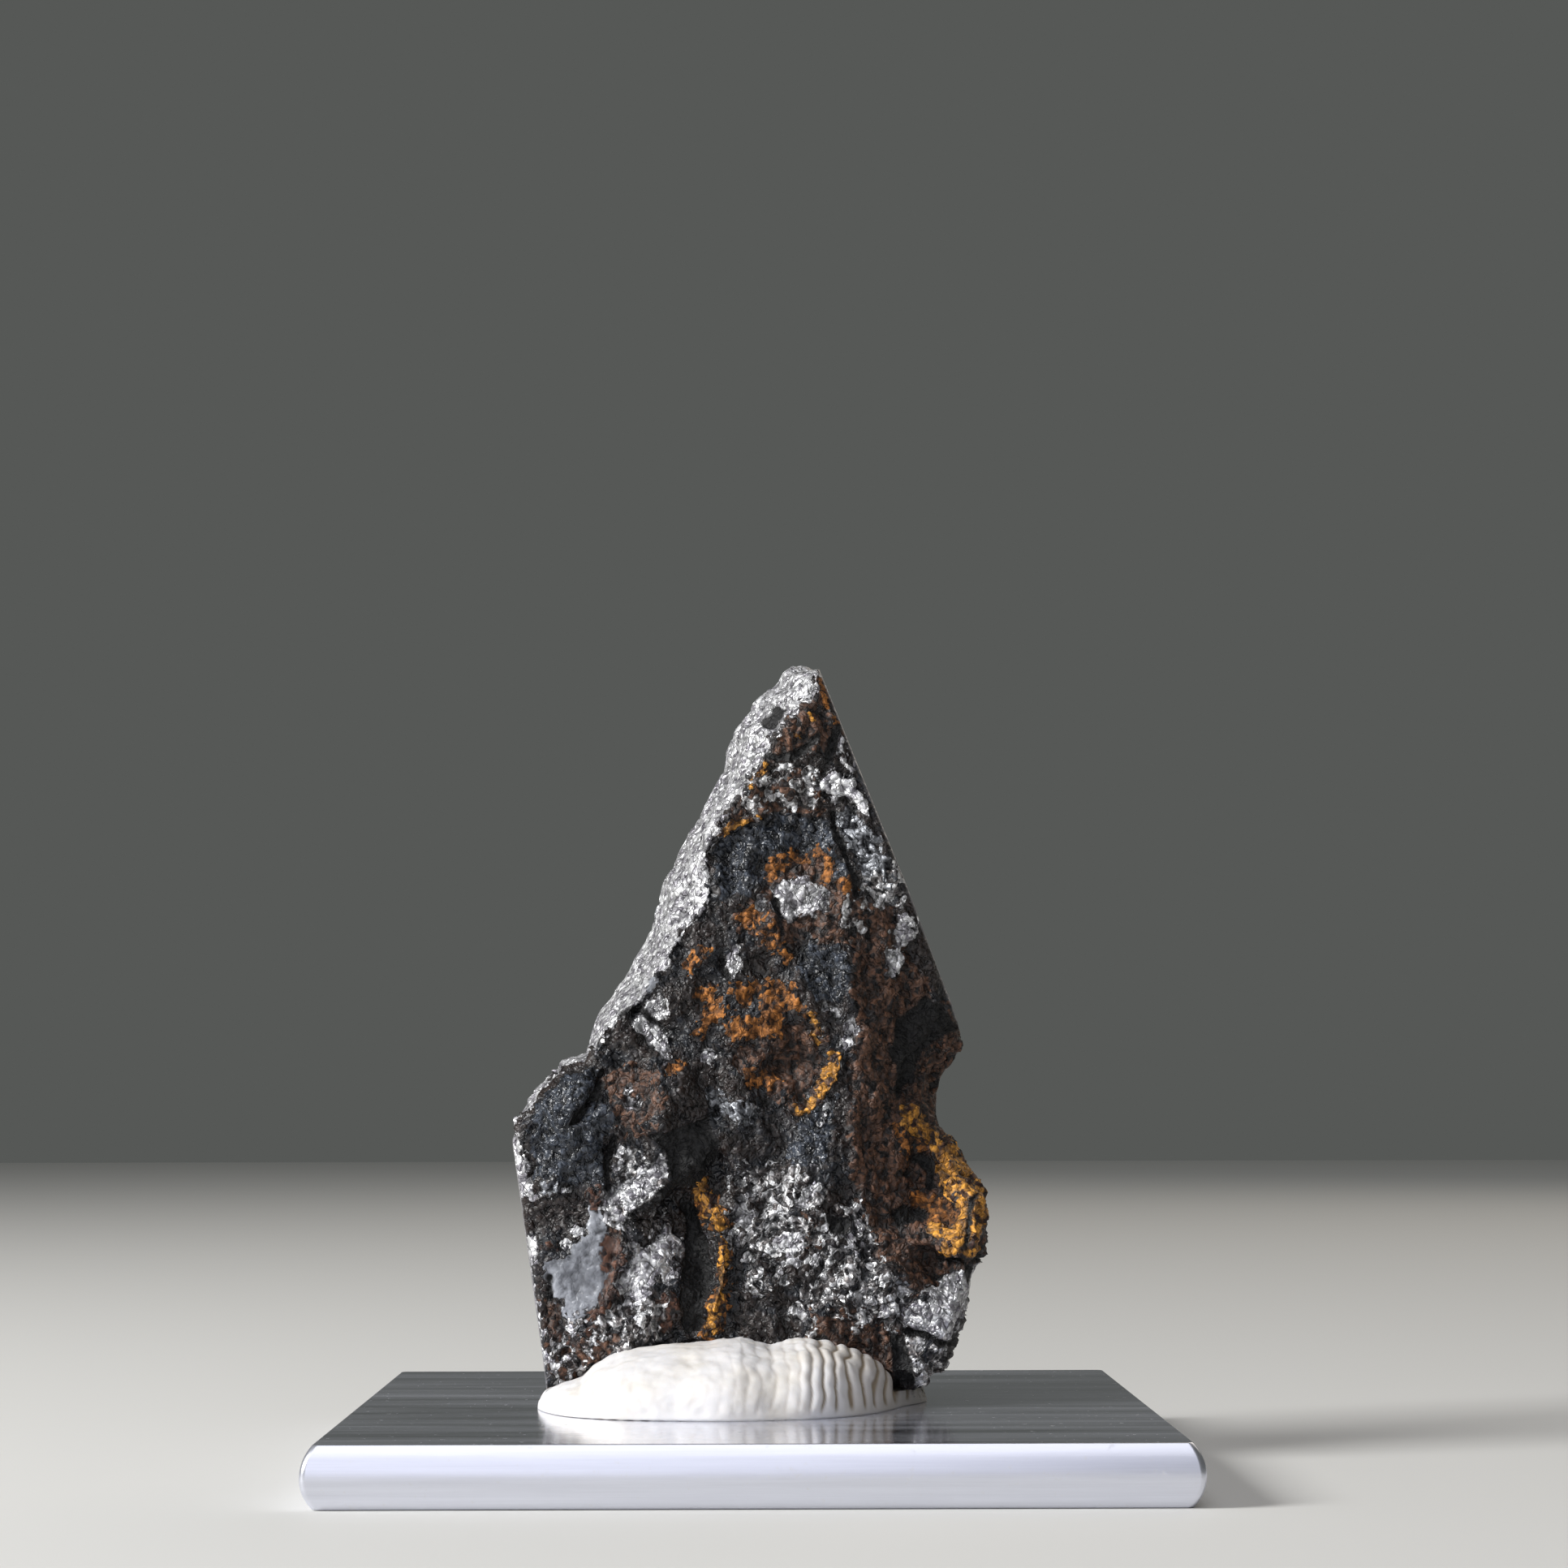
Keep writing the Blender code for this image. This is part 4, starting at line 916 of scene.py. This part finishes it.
# %% [markdown]
# For each finish, every point of the stone gets a number: how far inside the nearest area or stroke it is, in
# millimetres, and negative outside. Two sizes of noise are added, so that a border that is smooth in the lists
# comes out ragged, as scale flakes off. The finish covers a point where the number is above zero.

# %% Measure every point against the map
REACH = 1.2
SPECKLE_LIMIT = 0.05
RAGGED = {"bare": 0.26, "pewter": 0.35, "grains": 0.5, "rust": 0.20, "ochre": 0.14, "umber": 0.6, "blued": 0.3,
          "slate": 0.2, "painted_shadow": 0.10, "maroon": 0.2}

coarse_noise = fractal(points, 1.3, 3, 4)
fine_noise = fractal(points, 0.5, 2, 5)
inside_by = {}
for finish, ragged in RAGGED.items():
    inside_by[finish] = np.full(len(points), -REACH)
    shapes = [(outline, 0.0, True) for outline in AREAS.get(finish, [])]
    shapes += [(line, half_width, False) for half_width, line in STROKES.get(finish, [])]
    for line, half_width, closed in shapes:
        (left, low), (right_end, high) = np.min(line, axis=0) - REACH, np.max(line, axis=0) + REACH
        near = np.flatnonzero((x > left) & (x < right_end) & (z > low) & (z < high))
        away = distance_to(line + line[:1] if closed else line, x[near], z[near])
        covered = is_inside(line, x[near], z[near]) if closed else np.zeros(len(near), bool)
        inside_by[finish][near] = np.maximum(inside_by[finish][near], np.where(covered, away, half_width - away))
    seed = 6 + len(inside_by)
    swapped = points[:, [2, 0, 1]] + seed * 3.7
    inside_by[finish] += ragged * (fractal(swapped, 1.1, 3, seed) + 0.9 * fine_noise)
inside_by["grains"] = np.minimum(inside_by["grains"], SPECKLE_LIMIT)
covers = {finish: smooth_step(inside, -0.06, 0.06) for finish, inside in inside_by.items()}
for finish, share in covers.items():
    print(f"{finish} covers {share.mean():.0%} of the points")

# %% [markdown]
# ## Relief
#
# The relief is built in layers, each with a real size: soft lumps 2 mm wide, terraces where scale has come off
# in sheets, curved creases where a noise crosses zero, a net of finer cracks, upright grain on the right side, and the torn,
# grainy look of bare metal, which also lies a little lower than the scale around it. The two saw cuts and the
# flat back stay smooth, so the relief fades out towards them.

# %% Move the points
LEFT_SAW_CUT = [(-11.5, 4.1), (-13.7, 18.6)]
RIGHT_SAW_CUT = [(3.9, 44.7), (11.8, 24.8)]
BACK_FACE = 3.5
TERRACE_HEIGHT = 0.18
CRACK_CELL = 1.0
CRACK_DEPTH = 0.08
CREASE_DEPTH = 0.15
BARE_RECESS = 0.07
CRACK_LINES = [
    (0.30, 0.16, [(-8.3, 21.7), (-8.7, 20.6), (-9.2, 19.8), (-10.0, 18.8)]),
    (0.22, 0.14, [(4.6, 36.3), (4.7, 35.4), (5.1, 34.3), (5.7, 32.7), (5.8, 31.8)]),
    (0.16, 0.12, [(1.3, 31.4), (1.5, 30.4), (1.7, 29.6)]),
    (0.25, 0.15, [(8.6, 7.4), (9.6, 7.3), (10.4, 6.8), (11.0, 6.6)]),
    (0.25, 0.15, [(-7.7, 18.0), (-7.9, 17.2), (-8.1, 16.3), (-8.1, 15.4)]),
    (0.20, 0.14, [(-11.2, 10.5), (-11.2, 9.2)]),
]


def crack_net(spots, cell, seed):
    """0 in the middle of a cell of the net and 1 on its border."""
    shifted = map(Vector, (spots + seed) / cell)
    gaps = np.array([near[1] - near[0] for near, _ in (noise.voronoi(spot) for spot in shifted)])
    return 1 - smooth_step(gaps, 0.0, 0.3)


to_cut = np.minimum(distance_to(LEFT_SAW_CUT, x, z), distance_to(RIGHT_SAW_CUT, x, z))
sawn = 1 - smooth_step(to_cut, 0.10, 0.22)
etched = smooth_step(depth, BACK_FACE - 0.12, BACK_FACE - 0.03)
loose = smooth_step(to_cut, 0.1, 0.6) * smooth_step(BACK_FACE - depth, 0.05, 0.9)

warped = points + 0.25 * np.stack([fine_noise, coarse_noise, -fine_noise], axis=1)
sheet = fractal(points * (1, 1, 0.7), 1.9, 2, 21) * 3.2
terrace = np.floor(sheet) + smooth_step(sheet - np.floor(sheet), 0.0, 0.3)
net = crack_net(warped, CRACK_CELL, 3.0)
crease = 1 - smooth_step(np.abs(fractal(points, 1.5, 3, 22)), 0.0, 0.16)
crease = np.maximum(crease, 0.7 - 0.7 * smooth_step(np.abs(fractal(points, 0.8, 2, 28)), 0.0, 0.2))
grain = fractal(points * (1, 1, 0.28), 0.5, 2, 23)
tear = fractal(points, 0.8, 2, 24)
bare = covers["bare"]
crusty = 1 - bare
height = 0.12 * fractal(points, 2.2, 2, 20) + 0.035 * fine_noise
height += TERRACE_HEIGHT * terrace * crusty * (1 - 0.6 * covers["slate"])
height -= (CRACK_DEPTH * net + CREASE_DEPTH * crease) * (0.35 + 0.65 * crusty) * (1 - 0.6 * covers["slate"])
height += 0.16 * grain * covers["umber"]
height += bare * (0.12 * tear - BARE_RECESS)
height += 0.08 * covers["grains"] * fractal(points, 0.6, 2, 26)
height += 0.08 * np.maximum(covers["rust"], covers["ochre"]) * fractal(points, 0.5, 2, 27)
for crack_depth, half_width, line in CRACK_LINES:
    height -= crack_depth * np.exp(-((distance_to(line, x, z) / half_width) ** 2))
height -= 0.15 * covers["painted_shadow"]
points += normals * (height * loose)[:, None]
write_points(stone, points)
print("relief from", round(float((height * loose).min()), 2), "to", round(float((height * loose).max()), 2), "mm")

# %% [markdown]
# Hollows get painted shade and what sticks out is left lighter. To find both, the mesh is smoothed a few times
# in memory, and each point is compared with where the smoothing would take it. The map and this measure are then
# stored on the mesh as attributes, which the material reads.

# %% Store the map on the stone
SMOOTHING_ROUNDS = 10

edges = np.empty(len(stone.data.edges) * 2, int)
stone.data.edges.foreach_get("vertices", edges)
start, end = edges.reshape(-1, 2).T
neighbours = np.bincount(start, minlength=len(points)) + np.bincount(end, minlength=len(points))
smoothed = points.copy()
for _ in range(SMOOTHING_ROUNDS):
    total = np.zeros_like(smoothed)
    for axis in range(3):
        total[:, axis] = np.bincount(start, smoothed[end, axis], len(points))
        total[:, axis] += np.bincount(end, smoothed[start, axis], len(points))
    smoothed = 0.3 * smoothed + 0.7 * total / neighbours[:, None]
stands_out = ((points - smoothed) * read_normals(stone)).sum(axis=1)


def store(name, values):
    """Keeps one number for each point of the stone under this name."""
    layer = stone.data.attributes.new(name, "FLOAT", "POINT")
    layer.data.foreach_set("value", np.asarray(values, np.float32))


for finish, inside in inside_by.items():
    store(finish, (0.5 + inside / (2 * REACH)).clip(0, 1))
store("sawn", sawn * (1 - etched))
store("etched", etched)
store("stands_out", (0.5 + stands_out / 0.24).clip(0, 1))
print("points stand out by", np.round(np.percentile(stands_out, (2, 50, 98)), 3), "mm")

# %% [markdown]
# ## The stone's finish
#
# Weathered nickel-iron is a conductor where it is bare, with a rough, bright grey face, and a dull earth where
# it has rusted. The whole skin is crumpled: curved cracks run through it, and between them it is broken into
# grains, 0.2 to 0.5 mm wide, that each lean their own way. That is what makes it glitter. A crack lies wherever
# a noise passes through its middle value, and two cell patterns give each grain its lean, tone and border.

# %% Cracks and grains of the stone's skin
iron, place = new_material("weathered nickel-iron, sawn and etched")
noises = {}
for name, scale, detail in (("broad", 0.45, 4.0), ("middle", 1.4, 1.5), ("fine", 3.0, 0.5)):
    noises[name] = add_node(iron, "ShaderNodeTexNoise", {
        "Vector": place, "Scale": scale, "Detail": detail, "Roughness": 0.6}).outputs[0]
upright = add_node(iron, "ShaderNodeMapping", {"Vector": place, "Scale": (1.0, 1.0, 0.25)}).outputs[0]
noises["upright"] = add_node(iron, "ShaderNodeTexNoise", {
    "Vector": upright, "Scale": 3.0, "Detail": 1.0, "Roughness": 0.6}).outputs[0]
from_crack = add_node(iron, "ShaderNodeMath", {0: noises["middle"], 1: 0.5}, operation="SUBTRACT").outputs[0]
from_crack = add_node(iron, "ShaderNodeMath", {0: from_crack}, operation="ABSOLUTE").outputs[0]
whole = add_node(iron, "ShaderNodeMapRange", {"Value": from_crack, "From Max": 0.035, "To Min": 0.25}).outputs[0]
skin_height = add_node(iron, "ShaderNodeMath", {0: whole, 1: 0.08}, operation="MULTIPLY").outputs[0]

wander = add_node(iron, "ShaderNodeTexNoise", {"Vector": place, "Scale": 1.2, "Detail": 2.0}).outputs["Color"]
bent = add_node(iron, "ShaderNodeVectorMath", {0: wander, 1: (0.4,) * 3, 2: place}, operation="MULTIPLY_ADD").outputs[0]
leaning, grains, picks = (0.0, 0.0, 0.0), {}, {}
for name, scale, lean, rise, darkest in (("large", 1.3, 0.60, 0.10, 0.35), ("small", 2.8, 0.60, 0.06, 0.55)):
    cell = add_node(iron, "ShaderNodeTexVoronoi", {"Vector": bent, "Scale": scale}).outputs["Color"]
    off_middle = add_node(iron, "ShaderNodeVectorMath", {0: cell, 1: (0.5,) * 3}, operation="SUBTRACT").outputs[0]
    leaning = add_node(iron, "ShaderNodeVectorMath", {0: off_middle, 1: (lean,) * 3, 2: leaning},
                       operation="MULTIPLY_ADD").outputs[0]
    parts = add_node(iron, "ShaderNodeSeparateColor", {0: cell}).outputs
    grains[name], picks[name] = parts[0], parts[1]
    border = add_node(iron, "ShaderNodeTexVoronoi", {"Vector": bent, "Scale": scale}, feature="DISTANCE_TO_EDGE")
    gap = add_node(iron, "ShaderNodeMapRange", {"Value": border.outputs["Distance"], "From Max": 0.45},
                   interpolation_type="SMOOTHSTEP").outputs[0]
    skin_height = add_node(iron, "ShaderNodeMath", {0: gap, 1: rise, 2: skin_height},
                           operation="MULTIPLY_ADD").outputs[0]
    gap_shade = add_node(iron, "ShaderNodeMapRange", {
        "Value": border.outputs["Distance"], "From Max": 0.14, "To Min": darkest, "To Max": 1.0}).outputs[0]
    whole = add_node(iron, "ShaderNodeMath", {0: whole, 1: gap_shade}, operation="MULTIPLY").outputs[0]
relief = add_node(iron, "ShaderNodeAttribute", attribute_name="stands_out").outputs["Fac"]

# %% [markdown]
# One shader carries all the finishes. It starts from dark oxide scale, and each finish is laid over it in turn.
# The number stored for a finish has a noise and the grains' own numbers added, so that its border follows the
# grains, and is cut off sharply. What is left mixes colour, metal and roughness together.

# %% Finishes over one another
# Finish: two colours that the first pattern mixes, metallic, roughness, how much the second pattern and the
# grains fray its border, and how far it stands above the crust.
COATS = {
    "umber": ("#140A07", "#6E4C38", "upright", 0.0, 0.60, "fine", 0.10, 0.10, 0.00),
    "blued": ("#0E1115", "#454B55", "middle", 0.0, 0.34, "fine", 0.05, 0.10, 0.00),
    "slate": ("#2C3037", "#B6B9C0", "broad", 0.0, 0.36, "fine", 0.05, 0.10, 0.02),
    "maroon": ("#1A0A08", "#63402F", "fine", 0.0, 0.60, "fine", 0.08, 0.14, 0.04),
    "rust": ("#1C0C06", "#BC7836", "fine", 0.0, 0.80, "fine", 0.10, 0.20, 0.06),
    "ochre": ("#341404", "#E8A23C", "fine", 0.0, 0.60, "fine", 0.06, 0.12, 0.06),
    "pewter": ("#3C3D41", "#C0C3C8", "fine", 0.6, 0.45, "fine", 0.10, 0.25, -0.04),
    "grains": ("#807A78", "#FFFFFF", "fine", 0.60, 0.42, "middle", 0.80, 0.20, -0.06),
    "bare": ("#98959B", "#FFFFFF", "fine", 0.60, 0.42, "fine", 0.10, 0.16, -0.06),
    # Painted shadow: near-black colour for hollows and cracks.
    "painted_shadow": ("#030303", "#0E0C0B", "fine", 0.0, 0.7, "fine", 0.04, 0.04, -0.04),
}
scale_share = add_node(iron, "ShaderNodeMapRange", {
    "Value": noises["broad"], "From Min": 0.45, "From Max": 0.55}).outputs[0]
surface = add_node(iron, "ShaderNodeMix", {0: scale_share, 6: colour("#1B1F26"), 7: colour("#261A15")},
                   data_type="RGBA").outputs[2]
bits = add_node(iron, "ShaderNodeMapRange", {"Value": picks["small"], "From Min": 0.6, "From Max": 1.0}).outputs[0]
surface = add_node(iron, "ShaderNodeMix", {0: bits, 6: surface, 7: colour("#3E3835")}, data_type="RGBA").outputs[2]
metallic, roughness, shares = 0.0, 0.45, {}
for name, (dark, light, pattern, metal, rough, fray_pattern, fray, by_grain, rise) in COATS.items():
    stored = add_node(iron, "ShaderNodeAttribute", attribute_name=name).outputs["Fac"]
    frayed = add_node(iron, "ShaderNodeMath", {0: noises[fray_pattern], 1: fray, 2: stored}, operation="MULTIPLY_ADD")
    grained = add_node(iron, "ShaderNodeMath", {0: grains["small"], 1: by_grain, 2: frayed.outputs[0]},
                       operation="MULTIPLY_ADD").outputs[0]
    limit = 0.5 + 0.5 * fray + 0.5 * by_grain
    # Painted shadow: a dark band along the outer side of each finish's border, standing in for the shadow of a broken
    # edge.
    painted_edge_shadow = add_node(iron, "ShaderNodeMapRange", {
        "Value": grained, "From Min": limit - 0.07, "From Max": limit - 0.01, "To Max": 0.85}).outputs[0]
    surface = add_node(iron, "ShaderNodeMix", {0: painted_edge_shadow, 6: surface, 7: colour("#120A08")}, data_type="RGBA").outputs[2]
    share = add_node(iron, "ShaderNodeMapRange", {
        "Value": grained, "From Min": limit - 0.015, "From Max": limit + 0.015},
        interpolation_type="SMOOTHSTEP").outputs[0]
    shares[name] = share
    own_tone = 0.45 if name == "slate" else picks["small"]
    tone = add_node(iron, "ShaderNodeMath", {0: noises[pattern], 1: own_tone}, operation="ADD").outputs[0]
    tone = add_node(iron, "ShaderNodeMapRange", {"Value": tone, "From Min": 0.6, "From Max": 1.3}).outputs[0]
    coat = add_node(iron, "ShaderNodeMix", {0: tone, 6: colour(dark), 7: colour(light)}, data_type="RGBA").outputs[2]
    surface = add_node(iron, "ShaderNodeMix", {0: share, 6: surface, 7: coat}, data_type="RGBA").outputs[2]
    metallic = add_node(iron, "ShaderNodeMix", {0: share, 2: metallic, 3: metal}, data_type="FLOAT").outputs[0]
    roughness = add_node(iron, "ShaderNodeMix", {0: share, 2: roughness, 3: rough}, data_type="FLOAT").outputs[0]
    skin_height = add_node(iron, "ShaderNodeMath", {0: share, 1: rise, 2: skin_height},
                           operation="MULTIPLY_ADD").outputs[0]
facing = add_node(iron, "ShaderNodeNewGeometry").outputs["Normal"]
lean_share = add_node(iron, "ShaderNodeMapRange", {"Value": metallic, "To Min": 0.32, "To Max": 1.0}).outputs[0]
uneven = add_node(iron, "ShaderNodeMath", {0: 1.0, 1: shares["slate"]}, operation="SUBTRACT").outputs[0]
uneven = add_node(iron, "ShaderNodeMapRange", {"Value": uneven, "To Min": 0.25, "To Max": 1.0}).outputs[0]
lean_share = add_node(iron, "ShaderNodeMath", {0: lean_share, 1: uneven}, operation="MULTIPLY").outputs[0]
leaning = add_node(iron, "ShaderNodeVectorMath", {0: leaning, "Scale": lean_share}, operation="SCALE").outputs[0]
facing = add_node(iron, "ShaderNodeVectorMath", {0: facing, 1: leaning}, operation="ADD").outputs[0]
facing = add_node(iron, "ShaderNodeVectorMath", {0: facing}, operation="NORMALIZE").outputs[0]

# %% [markdown]
# Cracks and hollows are darkened with painted shade. Then the two sawn edges get fine saw lines, and the flat
# back gets the crossing bands that acid brings out in this kind of iron: crystals of two alloys about a
# millimetre wide, which lie in three directions. Three stretched noises turned against each other draw them.

# %% Sawn and etched faces
# Painted shade: the colour is darkened in hollows and along cracks, lighter where a point stands out.
shade = add_node(iron, "ShaderNodeMapRange", {
    "Value": relief, "From Min": 0.15, "From Max": 0.60, "To Min": 0.3, "To Max": 1.0}).outputs[0]
whole = add_node(iron, "ShaderNodeMix", {0: uneven, 2: 0.9, 3: whole}, data_type="FLOAT").outputs[0]
crack_shade = add_node(iron, "ShaderNodeMapRange", {"Value": whole, "To Min": 0.3, "To Max": 1.0}).outputs[0]
shade = add_node(iron, "ShaderNodeMath", {0: shade, 1: crack_shade}, operation="MULTIPLY").outputs[0]
surface = add_node(iron, "ShaderNodeMix", {0: 1.0, 6: surface, 7: shade}, data_type="RGBA", blend_type="MULTIPLY")
surface = surface.outputs[2]
bands = 0.0
for turn in (18, 78, 138):
    turned = add_node(iron, "ShaderNodeMapping", {
        "Vector": place, "Rotation": (0, math.radians(turn), 0), "Scale": (1.1, 1.1, 8.0)},
        vector_type="TEXTURE").outputs[0]
    lamella = add_node(iron, "ShaderNodeTexNoise", {"Vector": turned, "Scale": 1.0, "Detail": 1.0}).outputs[0]
    edge_of = add_node(iron, "ShaderNodeMapRange", {"Value": lamella, "From Min": 0.52, "From Max": 0.55}).outputs[0]
    bands = add_node(iron, "ShaderNodeMath", {0: edge_of, 1: bands}, operation="MAXIMUM").outputs[0]
etch_colour = add_node(iron, "ShaderNodeMix", {0: bands, 6: colour("#8D8F93"), 7: colour("#C9CBD0")},
                       data_type="RGBA").outputs[2]
saw_place = add_node(iron, "ShaderNodeMapping", {"Vector": place, "Scale": (0.2, 6.0, 0.2)}).outputs[0]
saw_lines = add_node(iron, "ShaderNodeTexNoise", {"Vector": saw_place, "Scale": 1.0, "Detail": 3.0}).outputs[0]
saw_colour = add_node(iron, "ShaderNodeMix", {0: saw_lines, 6: colour("#7F7A74"), 7: colour("#DCDCE2")},
                      data_type="RGBA").outputs[2]
machined = 0.0
for name, face_colour, rough in (("sawn", saw_colour, 0.35), ("etched", etch_colour, 0.3)):
    share = add_node(iron, "ShaderNodeAttribute", attribute_name=name).outputs["Fac"]
    surface = add_node(iron, "ShaderNodeMix", {0: share, 6: surface, 7: face_colour}, data_type="RGBA").outputs[2]
    metallic = add_node(iron, "ShaderNodeMix", {0: share, 2: metallic, 3: 1.0}, data_type="FLOAT").outputs[0]
    roughness = add_node(iron, "ShaderNodeMix", {0: share, 2: roughness, 3: rough}, data_type="FLOAT").outputs[0]
    machined = add_node(iron, "ShaderNodeMath", {0: machined, 1: share}, operation="MAXIMUM").outputs[0]
plain_facing = add_node(iron, "ShaderNodeNewGeometry").outputs["Normal"]
facing = add_node(iron, "ShaderNodeMix", {0: machined, 4: facing, 5: plain_facing}, data_type="VECTOR").outputs[1]
for name, amount in (("fine", 0.03), ("middle", 0.08)):
    skin_height = add_node(iron, "ShaderNodeMath", {0: noises[name], 1: amount, 2: skin_height},
                           operation="MULTIPLY_ADD").outputs[0]
rough_share = add_node(iron, "ShaderNodeMapRange", {"Value": machined, "To Min": 1.0, "To Max": 0.03}).outputs[0]
rough_share = add_node(iron, "ShaderNodeMath", {0: rough_share, 1: uneven}, operation="MULTIPLY").outputs[0]
bump = add_node(iron, "ShaderNodeBump", {
    "Height": skin_height, "Strength": rough_share, "Distance": MM, "Normal": facing}).outputs[0]
finish_material(iron, {"Base Color": surface, "Metallic": metallic, "Roughness": roughness, "Normal": bump})
stone.data.materials.clear()
stone.data.materials.append(iron)
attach(stone, "root")
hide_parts("meteorite")
print("stone finish:", len(iron.node_tree.nodes), "nodes")
